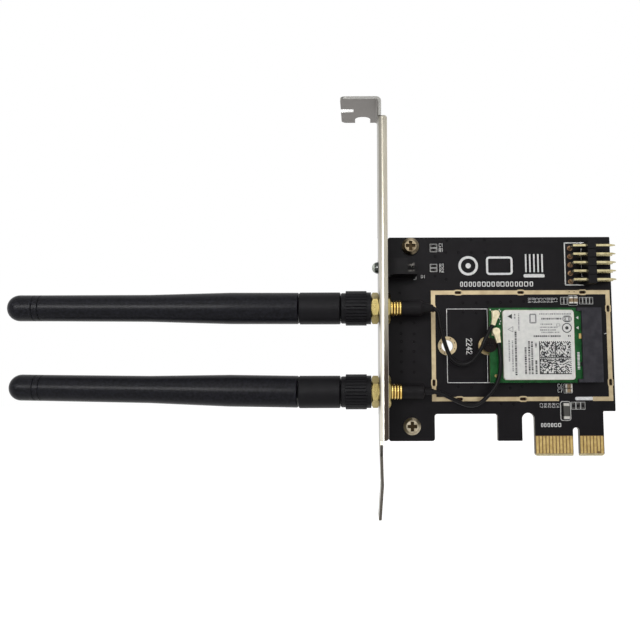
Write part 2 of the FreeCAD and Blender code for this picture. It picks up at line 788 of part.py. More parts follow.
def make_bracket_screw(side):
    """Pan-head cross-recess screw through the board into the bracket's lug."""
    name = f"bracket_screw_{side}"
    height = f"screw_{side}_z"
    head = doc.addObject("PartDesign::Body", f"{name}_head")
    profile = new_sketch(head, "XZ_Plane", f"{name}_profile")
    add_polygon(profile, [
        ("0", "0"), ("0", "screw_head_radius - screw_crown"), ("screw_crown", "screw_head_radius"),
        ("screw_head_height", "screw_head_radius"), ("screw_head_height", "screw_radius"),
        ("screw_head_height + board_thickness + sheet", "screw_radius"),
        ("screw_head_height + board_thickness + sheet", "0")])
    revolve(head, profile)
    front = f"({FACE} - screw_head_height)"
    place(head, "screw_x", front, height, FreeCAD.Rotation(FreeCAD.Vector(0, 0, 1), 90))
    arms = []
    recess = ("screw_cross", "screw_cross_width")
    for arm, (wide, tall) in enumerate((recess, recess[::-1])):
        arms.append(block(
            f"{name}_recess_{arm}", (f"screw_x - {wide} / 2", front, f"{height} - {tall} / 2"),
            (f"screw_x + {wide} / 2", f"{front} + screw_cross_depth", f"{height} + {tall} / 2")))
    return cut(name, head, *arms)


def make_jack(side):
    """Bulkhead coaxial jack: threaded barrel, hexagonal shoulder and crimp neck."""
    name = f"sma_jack_{side}"
    height = f"jack_{side}_z"
    tip = f"({NUT_END} - jack_reach)"
    barrel = turned_body(f"{name}_barrel", [
        (tip, "jack_bore"), (tip, "jack_radius"), (PLATE_INNER, "jack_radius"),
        (PLATE_INNER, "jack_neck_radius"), (FERRULE_END, "jack_neck_radius"), (FERRULE_END, "0"),
        (f"{tip} + jack_bore_depth", "0"), (f"{tip} + jack_bore_depth", "jack_bore")],
        y="jack_y", z=height)
    shoulder = chamfered_hexagon(f"{name}_hex", (PLATE_INNER, "jack_y", height), "jack_hex_length",
                                 "jack_hex", ("right",))
    return fuse(name, barrel, shoulder)


def make_jack_nut(side):
    """Hexagonal nut that clamps the jack to the outside of the bracket."""
    name = f"sma_nut_{side}"
    start = (NUT_END, "jack_y", f"jack_{side}_z")
    bar = chamfered_hexagon(f"{name}_hex", start, "nut_thickness", "nut_flats", ("left", "right"))
    bore = rod(f"{name}_bore", "x", start, "nut_thickness", "jack_radius + jack_clearance / 2")
    return cut(name, bar, bore)


def make_ferrule(side):
    """Ribbed crimp ferrule round the jack's neck."""
    inner = "jack_neck_radius + ferrule_bore_gap"
    profile = [(JACK_HEX_END, inner)]
    for rib in range(4):
        start = f"{JACK_HEX_END} + {rib} * ferrule_pitch"
        profile += [
            (start, "ferrule_radius - ferrule_groove"),
            (f"{start} + 0.25 * ferrule_pitch", "ferrule_radius"),
            (f"{start} + 0.7 * ferrule_pitch", "ferrule_radius")]
    profile += [(FERRULE_END, "ferrule_radius - ferrule_groove"), (FERRULE_END, inner)]
    return turned_body(f"crimp_ferrule_{side}", profile, y="jack_y", z=f"jack_{side}_z")


def boot_end(side):
    return f"({FERRULE_END} + boot_{side}_length + boot_{side}_taper + boot_{side}_reach)"


def make_boot(side):
    """Heat-shrink boot over the crimp, necked down to the cable."""
    size = f"boot_{side}"
    neck = f"{FERRULE_END} + {size}_length"
    return turned_body(f"cable_boot_{side}", [
        (FERRULE_END, "0"), (FERRULE_END, f"{size}_radius"), (neck, f"{size}_radius"),
        (f"{neck} + {size}_taper", f"{size}_neck"), (boot_end(side), f"{size}_tip"),
        (boot_end(side), "0")], y="jack_y", z=f"jack_{side}_z")


def port_axis(side):
    return f"port_{side}_x", f"port_{side}_z"


def make_ports():
    """Miniature coaxial receptacles soldered to the module."""
    ports = []
    for side in SIDES:
        x, z = port_axis(side)
        half = "port_base / 2"
        base = block(f"port_{side}_base",
                     (f"{x} - {half}", f"{MODULE_FACE} - port_base_height", f"{z} - {half}"),
                     (f"{x} + {half}", MODULE_FACE, f"{z} + {half}"))
        ring = rod(f"port_{side}_ring", "y", (x, f"{MODULE_FACE} - port_ring_height", z),
                   "port_ring_height", "port_ring")
        ports.append(fuse(f"port_{side}", base, ring))
    return group("module_receptacles", *ports)


def make_plug(side):
    """Snap-on coaxial plug: a shallow cup over the receptacle and a crimped tail."""
    name = f"cable_plug_{side}"
    lid = "(-plug_lift - plug_height)"
    cup = rod(f"{name}_cup", "y", ("0", lid, "0"), "plug_height", "plug_radius")
    depth = (lid, f"{lid} + plug_tail_height")
    root, end = (("-" + size + " / 2", size + " / 2") for size in ("plug_tail_root", "plug_tail_width"))
    tail = taper(f"{name}_tail", "plug_tail_length", (root, depth), (end, depth), ("0", "0", "0"),
                 FreeCAD.Rotation(FreeCAD.Vector(1, 0, 0), -90))
    bore = rod(f"{name}_bore", "y", ("0", f"{lid} + plug_roof", "0"), "plug_height", "plug_bore")
    plug = cut(name, fuse(f"{name}_solid", cup, tail), bore)
    turn = FreeCAD.Rotation(FreeCAD.Vector(0, 1, 0), number(f"port_{side}_turn"))
    x, z = port_axis(side)
    return place(plug, x, MODULE_FACE, z, turn)


def cable_exit(side):
    """Point where a cable meets the end of its plug's tail."""
    angle = math.radians(number(f"port_{side}_turn"))
    reach = number("plug_tail_length")
    x, z = (number(value) for value in port_axis(side))
    depth = number(f"{MODULE_FACE} - plug_lift - plug_height + plug_tail_height / 2")
    return FreeCAD.Vector(x - reach * math.sin(angle), depth, z - reach * math.cos(angle))


def make_cable(side, inner_points):
    """Free cable as straight runs joined by the largest tangent arcs that they allow."""
    start = FreeCAD.Vector(number(boot_end(side)), number("jack_y"), number(f"jack_{side}_z"))
    points = [start] + [FreeCAD.Vector(*point) for point in inner_points] + [cable_exit(side)]
    edges = []
    radii = []
    here = points[0]
    for before, corner, after in zip(points, points[1:], points[2:]):
        into = (before - corner).normalize()
        out = (after - corner).normalize()
        half_turn = (math.pi - into.getAngle(out)) / 2
        reach = 0.45 * min((before - corner).Length, (after - corner).Length)
        radius = reach / math.tan(half_turn)
        centre_way = (into + out).normalize()
        middle = corner + centre_way * (radius / math.cos(half_turn) - radius)
        edges.append(Part.LineSegment(here, corner + into * reach).toShape())
        edges.append(Part.Arc(corner + into * reach, middle, corner + out * reach).toShape())
        here = corner + out * reach
        radii.append(radius)
    edges.append(Part.LineSegment(here, points[-1]).toShape())
    path = Part.Wire(edges)
    way = (points[1] - points[0]).normalize()
    section = Part.Wire(Part.makeCircle(number("cable_radius"), points[0], way))
    cable = doc.addObject("Part::Feature", f"coax_{side}")
    cable.Shape = path.makePipeShell([section], True, False)
    expected = math.pi * number("cable_radius") ** 2 * path.Length
    print(f"coax_{side}: length {path.Length:.1f}, radii", [round(radius, 1) for radius in radii],
          f"volume ratio {cable.Shape.Volume / expected:.4f}")
    return cable


def make_coupling(side):
    """Knurled coupling nut of an antenna, open at the jack end and bored for the elbow's stem."""
    name = f"coupling_sleeve_{side}"
    bore = "insert_radius + insert_gap"
    stem = "stem_radius + stem_gap"
    body = turned_body(name, [
        (COUPLING_RIGHT, bore), (COUPLING_RIGHT, "nut_collar_radius"), (KNURL_RIGHT, "nut_collar_radius"),
        (KNURL_RIGHT, "knurl_radius"), (KNURL_LEFT, "knurl_radius"), (KNURL_LEFT, "collar_radius"),
        (f"{COUPLING_LEFT} + edge_chamfer", "collar_radius"),
        (COUPLING_LEFT, "collar_radius - edge_chamfer"),
        (COUPLING_LEFT, stem), (COUPLING_SEAT, stem), (COUPLING_SEAT, bore)], y="jack_y", z=f"jack_{side}_z")
    groove = new_sketch(body, "YZ_Plane", f"{name}_groove", f"({KNURL_LEFT} + {KNURL_RIGHT}) / 2")
    add_polygon(groove, [
        ("-knurl_width / 2", "knurl_radius + knurl_depth"), ("0", "knurl_radius - knurl_depth"),
        ("knurl_width / 2", "knurl_radius + knurl_depth")])
    before = body.Shape.Volume
    valley = body.newObject("PartDesign::Pocket", f"{name}_valley")
    valley.Profile = groove
    valley.SideType = "Symmetric"
    bind(valley, "Length", "knurl_length")
    doc.recompute()
    knurl = body.newObject("PartDesign::PolarPattern", f"{name}_knurl")
    knurl.Originals = [valley]
    knurl.Axis = (next(f for f in body.Origin.OriginFeatures if f.Role == "X_Axis"), [""])
    knurl.Angle = 360
    bind(knurl, "Occurrences", "knurl_count")
    body.Tip = knurl
    doc.recompute()
    if body.Shape.Volume >= before:
        raise RuntimeError(f"{name} has no knurl")
    return body


def make_insert(side):
    """Threaded brass insert pressed into the coupling nut."""
    name = f"coupling_insert_{side}"
    start = (COUPLING_SEAT, "jack_y", f"jack_{side}_z")
    shell = rod(f"{name}_shell", "x", start, "insert_length", "insert_radius")
    bore = rod(f"{name}_bore", "x", start, "insert_length", "insert_bore")
    return cut(name, shell, bore)


def make_elbow(side):
    """Antenna elbow: a barrel on a lipped stem, with a fork that is open to the rear."""
    name = f"antenna_elbow_{side}"
    height = f"jack_{side}_z"
    chamfered = "(elbow_radius - edge_chamfer)"
    lip = f"({COUPLING_SEAT} + stem_gap)"
    barrel = turned_body(f"{name}_barrel", [
        (SEAM, "0"), (SEAM, chamfered), (f"{SEAM} + edge_chamfer", "elbow_radius"),
        (f"{ELBOW_RIGHT} - edge_chamfer", "elbow_radius"), (ELBOW_RIGHT, chamfered),
        (ELBOW_RIGHT, "stem_radius"), (lip, "stem_radius"), (lip, "lip_radius"),
        (f"{lip} + lip_length", "lip_radius"), (f"{lip} + lip_length", "0")], y="jack_y", z=height)
    over = "(elbow_radius + sheet)"
    slot = block(f"{name}_slot",
                 (f"{SEAM} - sheet", "jack_y - elbow_radius + fork_wall", f"{height} - fork_slot / 2"),
                 (f"{PIN_X} + fork_reach", f"jack_y + {over}", f"{height} + fork_slot / 2"))
    swing = block(f"{name}_swing", (f"{SEAM} - sheet", "jack_y", f"{height} - {over}"),
                  (PIN_X, f"jack_y + {over}", f"{height} + {over}"))
    knuckle = rod(f"{name}_knuckle", "z", (PIN_X, "jack_y", f"{height} - {over}"),
                  f"2 * {over}", "pin_setback")
    relief = cut(f"{name}_relief", swing, knuckle)
    pin_hole = rod(f"{name}_pin_hole", "z", (PIN_X, "jack_y", f"{height} - pin_length / 2"),
                   "pin_length", "pin_radius + pin_press_gap")
    return cut(name, barrel, fuse(f"{name}_voids", slot, relief, pin_hole))


def make_hinge_pin(side):
    """Knuckle pin held in the elbow's fork."""
    start = (PIN_X, "jack_y", f"jack_{side}_z - pin_length / 2")
    return rod(f"hinge_pin_{side}", "z", start, "pin_length", "pin_radius")


def lean(side):
    """Each whip rises a little within its knuckle's play, and the lower one is folded back a little."""
    rise = FreeCAD.Rotation(FreeCAD.Vector(0, 1, 0), number(f"{side}_lean"))
    back = number("lower_fold") if side == "lower" else 0
    return rise * FreeCAD.Rotation(FreeCAD.Vector(0, 0, 1), -back)


def set_on_pin(piece, side):
    return place(piece, PIN_X, "jack_y", f"jack_{side}_z", lean(side))


SHOULDER = "(-pin_setback - seam_gap)"
SPIGOT_END = f"({SHOULDER} - spigot_length)"
WHIP_TIP = f"({SHOULDER} - whip_length)"


def make_hinge_tongue(side):
    """Knuckle tongue with its eye, on a spigot that plugs the whip."""
    name = f"hinge_tongue_{side}"
    flat = "(fork_slot / 2 - tongue_gap)"
    spigot = rod(f"{name}_spigot", "x", (SPIGOT_END, "0", "0"), "spigot_length", "spigot_radius")
    arm = block(f"{name}_arm", (f"{SHOULDER} - sheet", "-eye_radius", f"-{flat}"), ("0", "eye_radius", flat))
    eye = rod(f"{name}_eye", "z", ("0", "0", f"-{flat}"), f"2 * {flat}", "eye_radius")
    hole = rod(f"{name}_hole", "z", ("0", "0", f"-{flat}"), f"2 * {flat}", "pin_radius + pin_run_gap")
    return set_on_pin(cut(name, fuse(f"{name}_solid", spigot, arm, eye), hole), side)


def make_whip(side):
    """Hollow whip: a thick root, a long taper, two ring grooves and a domed tip."""
    name = f"antenna_whip_{side}"
    taper_end = f"{SHOULDER} - whip_shoulder - whip_taper"
    profile = [
        (SHOULDER, "spigot_radius + spigot_gap"), (SHOULDER, "whip_base_radius - edge_chamfer"),
        (f"{SHOULDER} - edge_chamfer", "whip_base_radius"),
        (f"{SHOULDER} - whip_shoulder", "whip_base_radius"), (taper_end, "whip_neck_radius")]
    for ring in (1, 0):
        start = f"({WHIP_TIP} + ring_offset + {ring} * ring_spacing)"
        profile += [
            (f"{start} + ring_width / 2", "whip_tip_radius"),
            (start, "whip_tip_radius - ring_depth"),
            (f"{start} - ring_width / 2", "whip_tip_radius")]
    inner = "whip_tip_radius - whip_wall"
    profile += [
        (WHIP_TIP, "whip_tip_radius"), (WHIP_TIP, "0"), (f"{WHIP_TIP} + 2 * whip_wall", "0"),
        (f"{WHIP_TIP} + 2 * whip_wall", inner), (SPIGOT_END, inner),
        (SPIGOT_END, "spigot_radius + spigot_gap")]
    body = turned_body(name, profile)
    tip = number(WHIP_TIP)
    rim = [f"Edge{index}" for index, edge in enumerate(body.Tip.Shape.Edges, start=1)
           if edge.BoundBox.XMax < tip + 1e-4 and edge.BoundBox.YLength > 1e-3]
    base = body.Tip
    dome = body.newObject("PartDesign::Fillet", f"{name}_dome")
    dome.Base = (base, rim)
    bind(dome, "Radius", "whip_tip_round")
    doc.recompute()
    return set_on_pin(body, side)


def make_radiator(side):
    """Dipole inside the whip: a brass sleeve on the spigot and a rod beyond it."""
    name = f"radiator_{side}"
    sleeve = rod(f"{name}_sleeve", "x", (f"{SPIGOT_END} - radiator_sleeve_length", "0", "0"),
                 "radiator_sleeve_length", "radiator_sleeve_radius")
    wire = rod(f"{name}_rod", "x",
               (f"{SPIGOT_END} - radiator_sleeve_length - radiator_rod_length", "0", "0"),
               "radiator_rod_length + sheet", "radiator_rod_radius")
    return set_on_pin(fuse(name, sleeve, wire), side)


def make_module_board():
    """Radio module's board with its half-round screw notch, contact tongue and polarising key."""
    left, right = "module_hole_x", "(module_hole_x + module_length)"
    plate = block("module_blank", (left, MODULE_FACE, MODULE_LOW), (right, MODULE_UNDER, MODULE_HIGH))
    moon = rod("module_moon_cut", "y", (left, MODULE_FACE, "module_hole_z"), "module_thickness",
               "module_moon")
    key = block("module_key_cut",
                (f"{right} - module_key_depth", MODULE_FACE, f"{MODULE_LOW} + module_key_offset"),
                (right, MODULE_UNDER, f"{MODULE_LOW} + module_key_offset + module_key_width"))
    tongue = f"({right} - module_tongue_length)"
    trims = []
    for name, low, high in (("low", MODULE_LOW, "module_hole_z - module_tongue_width / 2"),
                            ("high", "module_hole_z + module_tongue_width / 2", MODULE_HIGH)):
        trims.append(block(f"module_{name}_trim", (tongue, MODULE_FACE, low), (right, MODULE_UNDER, high)))
    return cut("module_pcb", plate, moon, key, *trims)


def make_shield():
    """Drawn shield can over the module's parts, open towards the module's board."""
    body = doc.addObject("PartDesign::Body", "module_shield_can")
    low, high = f"{MODULE_LOW} + shield_edge", f"{MODULE_HIGH} - shield_edge"
    outline = new_sketch(body, "XZ_Plane", "shield_outline")
    add_polygon(outline, [
        ("shield_left", low), ("shield_right", low), ("shield_right", high), ("shield_left", high)])
    pad(body, outline, "shield_height")
    round_edges(body, "shield_corners", "shield_corner", "y", [
        (x, z) for x in ("shield_left", "shield_right") for z in (low, high)])
    place(body, y=f"{MODULE_FACE} - shield_height / 2")
    hollow = block("shield_hollow",
                   ("shield_left + shield_wall", f"{MODULE_FACE} - shield_height + shield_wall",
                    f"{low} + shield_wall"),
                   ("shield_right - shield_wall", MODULE_FACE, f"{high} - shield_wall"))
    return cut("module_shield", body, hollow)


def make_label():
    """Plain paper label on the shield."""
    body = doc.addObject("PartDesign::Body", "module_label")
    low, high = f"{MODULE_LOW} + shield_edge + label_margin", f"{MODULE_HIGH} - shield_edge - label_margin"
    left, right = "shield_left + label_margin", "shield_right - label_margin"
    outline = new_sketch(body, "XZ_Plane", "label_outline")
    add_polygon(outline, [(left, low), (right, low), (right, high), (left, high)])
    pad(body, outline, "label_thickness")
    round_edges(body, "label_corners", "label_corner", "y", [
        (x, z) for x in (left, right) for z in (low, high)])
    return place(body, y=f"{MODULE_FACE} - shield_height - label_thickness / 2")


def make_standoff():
    """Threaded standoff riveted through the board under the module's end."""
    top = MODULE_UNDER
    start = ("module_hole_x", top, "module_hole_z")
    barrel = rod("standoff_barrel", "y", start, "module_lift - plating", "standoff_radius")
    shank = rod("standoff_shank", "y", start, "module_lift + board_thickness", "standoff_shank_radius")
    bore = rod("standoff_thread", "y", start, "module_lift + board_thickness", "standoff_bore")
    return cut("module_standoff", fuse("standoff_solid", barrel, shank), bore)


def make_module_screw():
    """Flat-headed screw that holds the module's end down on the standoff."""
    start = ("module_hole_x", f"{MODULE_FACE} - module_screw_crown", "module_hole_z")
    head = rod("module_screw_disc", "y", start, "module_screw_crown", "module_screw_head")
    shank = rod("module_screw_shank", "y", start, "module_screw_crown + module_thickness + module_lift",
                "module_screw_radius")
    arms = []
    for arm, (wide, tall) in enumerate((("module_screw_head", "module_screw_crown / 2"),
                                        ("module_screw_crown / 2", "module_screw_head"))):
        low = f"{MODULE_FACE} - module_screw_crown"
        arms.append(block(
            f"module_screw_recess_{arm}",
            (f"module_hole_x - {wide} / 2", low, f"module_hole_z - {tall} / 2"),
            (f"module_hole_x + {wide} / 2", f"{low} + module_screw_crown / 2",
             f"module_hole_z + {tall} / 2")))
    return cut("module_screw", fuse("module_screw_solid", head, shank), *arms)


def make_socket():
    """Edge socket that the module plugs into, with an arm beside each end of the module's tongue."""
    low, high = SOCKET_LOW, SOCKET_HIGH
    front = f"{FACE} - socket_height"
    body = block("socket_block", ("socket_left", front, low), ("socket_right", FACE, high))
    arm_left = "(module_hole_x + module_length - module_tongue_length + socket_gap)"
    reach = "(module_tongue_width / 2 + socket_gap)"
    low_arm = block("socket_arm_low", (arm_left, front, low),
                    ("socket_left", FACE, f"module_hole_z - {reach}"))
    high_arm = block("socket_arm_high", (arm_left, front, f"module_hole_z + {reach}"),
                     ("socket_left", FACE, high))
    depth = "(module_hole_x + module_length + socket_slot_spare)"
    mouth = block("socket_mouth", ("socket_left", f"{MODULE_FACE} - socket_gap", f"{low} + sheet"),
                  (depth, f"{MODULE_UNDER} + socket_gap", f"{high} - sheet"))
    return cut("socket_body", fuse("socket_solid", body, low_arm, high_arm), mouth)


def make_socket_tails():
    """Row of solder tails behind the socket."""
    count = int(number(f"({SOCKET_HIGH} - {SOCKET_LOW} - 2 * tail_margin) / tail_pitch"))
    tails = []
    for index in range(count):
        z = f"({SOCKET_LOW} + tail_margin + {index} * tail_pitch)"
        tails.append(block(f"socket_tail_{index}", ("socket_right", f"{FACE} - tail_thickness", z),
                           ("socket_right + tail_length", FACE, f"{z} + tail_width")))
    return group("socket_tails", *tails)


def header_row(row):
    """Height of a header row in front of the board; row 0 is the nearer to the board."""
    return f"({FACE} - header_row_low - {row} * pin_pitch)"


def make_header_body():
    """Insulator of the right-angle header, with a groove between neighbouring pins."""
    left, right = "header_body_x", "(header_body_x + pin_pitch)"
    top, low = "(header_top_z + pin_pitch / 2)", "(header_top_z - 4.5 * pin_pitch)"
    front = f"({header_row(1)} - pin_pitch / 2)"
    blank = block("header_blank", (left, front, low), (right, f"{FACE} - header_body_lift", top))
    holes = []
    for row, column in header_spots():
        z = f"(header_top_z - {column} * pin_pitch)"
        y = header_row(row)
        half = "pin_side / 2"
        holes.append(block(f"header_hole_{row}_{column}", (left, f"{y} - {half}", f"{z} - {half}"),
                           (right, f"{y} + {half}", f"{z} + {half}")))
    for gap in range(1, 5):
        z = f"(header_top_z - {gap - 0.5} * pin_pitch)"
        holes.append(block(f"header_groove_{gap}", (left, front, f"{z} - header_rib / 2"),
                           (right, f"{front} + header_rib", f"{z} + header_rib / 2")))
    return cut("header_body", blank, *holes)


def make_header_pins():
    """Square pins bent at right angles from the board towards its free end."""
    pins = []
    half = "pin_side / 2"
    root, end = (("-" + size + " / 2", size + " / 2") for size in ("pin_side", "pin_tip_side"))
    along_x = FreeCAD.Rotation(FreeCAD.Vector(0, 0, 1), -90)
    for row, column in header_spots():
        x, z = header_leg(row, column)
        y = header_row(row)
        run = block(f"header_run_{row}_{column}", (f"{x} - {half}", f"{y} - {half}", f"{z} - {half}"),
                    ("header_tip_x - pin_taper", f"{y} + {half}", f"{z} + {half}"))
        tip = taper(f"header_tip_{row}_{column}", "pin_taper", (root, root), (end, end),
                    ("header_tip_x - pin_taper", y, z), along_x)
        leg = block(f"header_leg_{row}_{column}", (f"{x} - {half}", f"{y} - {half}", f"{z} - {half}"),
                    (f"{x} + {half}", f"{BACK} + pin_tail", f"{z} + {half}"))
        pins.append(fuse(f"header_pin_{row}_{column}", run, tip, leg))
    return group("header_pins", *pins)


def light_axis():
    return f"({FACE} - light_height)", "light_z"


def make_light_holder():
    """Right-angle holder that brings the status light to the bracket, open round the bent leads."""
    y, z = light_axis()
    half = "holder_size / 2"
    blank = block("holder_blank", ("holder_left", f"{FACE} - holder_height", f"{z} - {half}"),
                  ("holder_right", FACE, f"{z} + {half}"))
    bore = rod("holder_bore", "x", ("holder_left", y, z), "holder_right - holder_left",
               "light_radius + light_gap")
    window = block("holder_opening",
                   ("holder_window", f"{FACE} - holder_height", f"{z} - {half} + holder_floor"),
                   ("holder_right", FACE, f"{z} + {half}"))
    return cut("led_holder", blank, bore, window)


def make_light():
    """Round status light with its two bent leads."""
    y, z = light_axis()
    tip = "(bracket_x - light_reach)"
    rear = f"({tip} + light_dome + light_body)"
    lamp = turned_body("status_lamp", [
        (tip, "0"), (f"{tip} + 0.04 * light_dome", "0.28 * light_radius"),
        (f"{tip} + 0.16 * light_dome", "0.54 * light_radius"),
        (f"{tip} + 0.36 * light_dome", "0.77 * light_radius"),
        (f"{tip} + 0.64 * light_dome", "0.93 * light_radius"),
        (f"{tip} + light_dome", "light_radius"), (rear, "light_radius"), (rear, "0")], y=y, z=z)
    leads = []
    half = "lead_side / 2"
    for name, sign in (("high", "+"), ("low", "-")):
        level = f"({z} {sign} lead_spacing / 2)"
        inner = f"({z} {sign} light_radius / 2)"
        near, far = (level, inner) if sign == "-" else (inner, level)
        run = block(f"lead_{name}_run", (f"{rear} - lead_side", f"{y} - {half}", f"{inner} - {half}"),
                    (f"lead_x + {half}", f"{y} + {half}", f"{inner} + {half}"))
        jog = block(f"lead_{name}_jog", (f"lead_x - {half}", f"{y} - {half}", f"{near} - {half}"),
                    (f"lead_x + {half}", f"{y} + {half}", f"{far} + {half}"))
        leg = block(f"lead_{name}_leg", (f"lead_x - {half}", f"{y} - {half}", f"{level} - {half}"),
                    (f"lead_x + {half}", f"{BACK} + pin_tail", f"{level} + {half}"))
        leads += [run, jog, leg]
    return lamp, fuse("led_leads", *leads)


def chip_places():
    """Centre, direction and size group of each small surface-mount part."""
    places = [(f"(chip_top_x + {n} * chip_pitch)", "chip_top_z", "v", "chip") for n in range(2)]
    places += [("chip_low_x", f"(chip_low_z - {n} * chip_pitch)", "u", "chip") for n in range(2)]
    return places + [("long_chip_x", "long_chip_z", "v", "long_chip")]


def make_chips():
    """Chip bodies and their plated end caps."""
    bodies, caps = [], []
    for index, (x, z, along, size) in enumerate(chip_places()):
        end, joint = f"({size}_length / 2)", f"({size}_length / 2 - {size}_cap)"
        for role, low, high, proud in (("body", f"-{joint}", joint, "0"),
                                       ("low_cap", f"-{end}", f"-{joint}", "chip_cap_proud"),
                                       ("high_cap", joint, end, "chip_cap_proud")):
            side = f"({size}_width / 2 + {proud})"
            spans = ((low, high), (f"-{side}", side)) if along == "u" else ((f"-{side}", side), (low, high))
            (x_low, x_high), (z_low, z_high) = spans
            piece = block(f"chip_{index}_{role}",
                          (f"{x} + ({x_low})", f"{FACE} - {size}_height - {proud}", f"{z} + ({z_low})"),
                          (f"{x} + ({x_high})", FACE, f"{z} + ({z_high})"))
            (bodies if role == "body" else caps).append(piece)
    return group("chip_bodies", *bodies), group("chip_caps", *caps)


# Route of each pigtail between its boot and its plug, chosen to follow the loops on the card
COAX_POINTS = {
    "upper": [
        (-40.95, -7.0, 42.35), (-40.6, -6.9, 40.2), (-40.2, -6.6, 37.5), (-39.5, -6.1, 34.7),
        (-38.6, -5.5, 31.9), (-37.5, -4.9, 29.2), (-35.95, -4.4, 27.4), (-33.7, -4.1, 26.7),
        (-31.4, -4.3, 27.3), (-29.75, -4.9, 29.05), (-28.2, -5.8, 31.6), (-27.1, -6.1, 34.3),
        (-25.95, -5.8, 36.8)],
    "lower": [
        (-40.0, -6.9, 18.3), (-37.4, -6.4, 17.0), (-34.6, -5.6, 15.7), (-31.9, -4.9, 14.8),
        (-29.3, -4.7, 15.2), (-27.4, -4.8, 16.7), (-25.6, -5.0, 18.7), (-24.0, -5.3, 20.9),
        (-23.1, -5.5, 23.8), (-22.75, -5.5, 26.9), (-22.85, -5.3, 30.1)],
}

nodes = [make_board(), make_guard_strip(), make_hole_pads(), make_contacts(), make_bracket()]
nodes += [make_module_board(), make_shield(), make_label(), make_ports()]
nodes += [make_standoff(), make_module_screw(), make_socket(), make_socket_tails()]
nodes += [make_header_body(), make_header_pins(), make_light_holder(), *make_light(), *make_chips()]
for side in SIDES:
    nodes += [make_bracket_screw(side), make_jack(side), make_jack_nut(side), make_ferrule(side)]
    nodes += [make_boot(side), make_plug(side), make_cable(side, COAX_POINTS[side])]
    nodes += [make_coupling(side), make_insert(side), make_elbow(side), make_hinge_pin(side)]
    nodes += [make_hinge_tongue(side), make_whip(side), make_radiator(side)]
doc.recompute()

failed = [item.Name for item in doc.Objects if {"Invalid", "Error"} & set(item.State)]
if failed:
    raise RuntimeError(f"failed objects: {failed}")
for node in nodes:
    node.Label = node.Name
    if node.Shape.isNull() or not node.Shape.isValid() or not node.Shape.Solids:
        raise RuntimeError(f"{node.Name} has no valid solid")

os.makedirs("parts", exist_ok=True)
for node in nodes:
    node.Shape.exportStep(f"parts/{node.Label}.step")
print(f"{len(nodes)} nodes written")
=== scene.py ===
"""Looks of the wireless adapter card: materials, printed marks, pigtails, studio and camera."""
import math
import random

import bmesh
import bpy
from mathutils import Matrix, Vector


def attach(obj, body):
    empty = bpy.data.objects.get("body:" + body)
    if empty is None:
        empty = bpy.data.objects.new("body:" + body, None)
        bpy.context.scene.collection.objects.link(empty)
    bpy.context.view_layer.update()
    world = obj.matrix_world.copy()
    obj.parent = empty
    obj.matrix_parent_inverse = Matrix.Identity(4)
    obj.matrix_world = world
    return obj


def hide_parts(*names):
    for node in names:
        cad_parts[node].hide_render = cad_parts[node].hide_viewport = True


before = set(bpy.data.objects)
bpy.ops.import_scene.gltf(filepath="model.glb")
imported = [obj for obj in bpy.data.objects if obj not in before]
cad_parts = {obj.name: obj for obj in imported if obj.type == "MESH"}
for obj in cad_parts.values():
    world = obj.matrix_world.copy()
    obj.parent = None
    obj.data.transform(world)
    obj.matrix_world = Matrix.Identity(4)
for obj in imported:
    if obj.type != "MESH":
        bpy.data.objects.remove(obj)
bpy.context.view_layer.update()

MM = 0.001
scene = bpy.context.scene

# Depths in millimetres: the component side of the card looks along -Y
BOARD_FACE = -0.8
BOARD_BACK = 0.8
STRIP_FACE = -0.85
MODULE_FACE = -4.0
LABEL_FACE = -5.58
JACK_DEPTH = -7.0
BRACKET_SCREW_FACE = -2.58
MODULE_SCREW_FACE = -4.4

# Places in millimetres, as (x, z) or as one of the two
JACK_HEIGHT = {"upper": 43.1, "lower": 18.95}
BRACKET_SCREW_X = -48.4
BRACKET_SCREW_HEIGHT = {"upper": 62.45, "lower": 8.75}
MODULE_SCREW = (-25.6, 32.45)
LONG_MODULE_HOLE = (-37.6, 32.45)
HEADER_PITCH = 2.54
HEADER_HOLE_X = -0.25


# Shader tools


def srgb(red, green, blue):
    """Linear colour from 0 to 255 display values."""
    def linear(value):
        value /= 255
        return value / 12.92 if value <= 0.04045 else ((value + 0.055) / 1.055) ** 2.4
    return linear(red), linear(green), linear(blue), 1.0


def node(tree, kind, **inputs):
    """A shader node with some of its input sockets set by name."""
    made = tree.nodes.new(kind)
    for name, value in inputs.items():
        made.inputs[name.replace("_", " ")].default_value = value
    return made


def feed(tree, socket, value):
    """Links a socket to another one, or sets it to a plain value."""
    if isinstance(value, bpy.types.NodeSocket):
        tree.links.new(value, socket)
    else:
        socket.default_value = value


def calc(tree, operation, first, second=0.0):
    """One step of arithmetic on sockets or plain numbers."""
    made = tree.nodes.new("ShaderNodeMath")
    made.operation = operation
    feed(tree, made.inputs[0], first)
    feed(tree, made.inputs[1], second)
    return made.outputs["Value"]


def both(tree, first, second):
    """One where two factors are both one."""
    return calc(tree, "MULTIPLY", first, second)


def blend(tree, factor, first, second):
    """The first colour where the factor is zero, the second where it is one."""
    mix = tree.nodes.new("ShaderNodeMix")
    mix.data_type = "RGBA"
    feed(tree, mix.inputs["Factor"], factor)
    feed(tree, mix.inputs["A"], first)
    feed(tree, mix.inputs["B"], second)
    return mix.outputs["Result"]


def coordinate(tree, kind, axis):
    """One axis of the place on the object, or of the direction that its face looks in."""
    place = tree.nodes.new("ShaderNodeTexCoord")
    split = tree.nodes.new("ShaderNodeSeparateXYZ")
    tree.links.new(place.outputs[kind], split.inputs["Vector"])
    return split.outputs[axis]


def above(tree, axis, limit):
    """One past a place along an axis, in millimetres, and zero before it."""
    return calc(tree, "GREATER_THAN", coordinate(tree, "Object", axis), limit * MM)


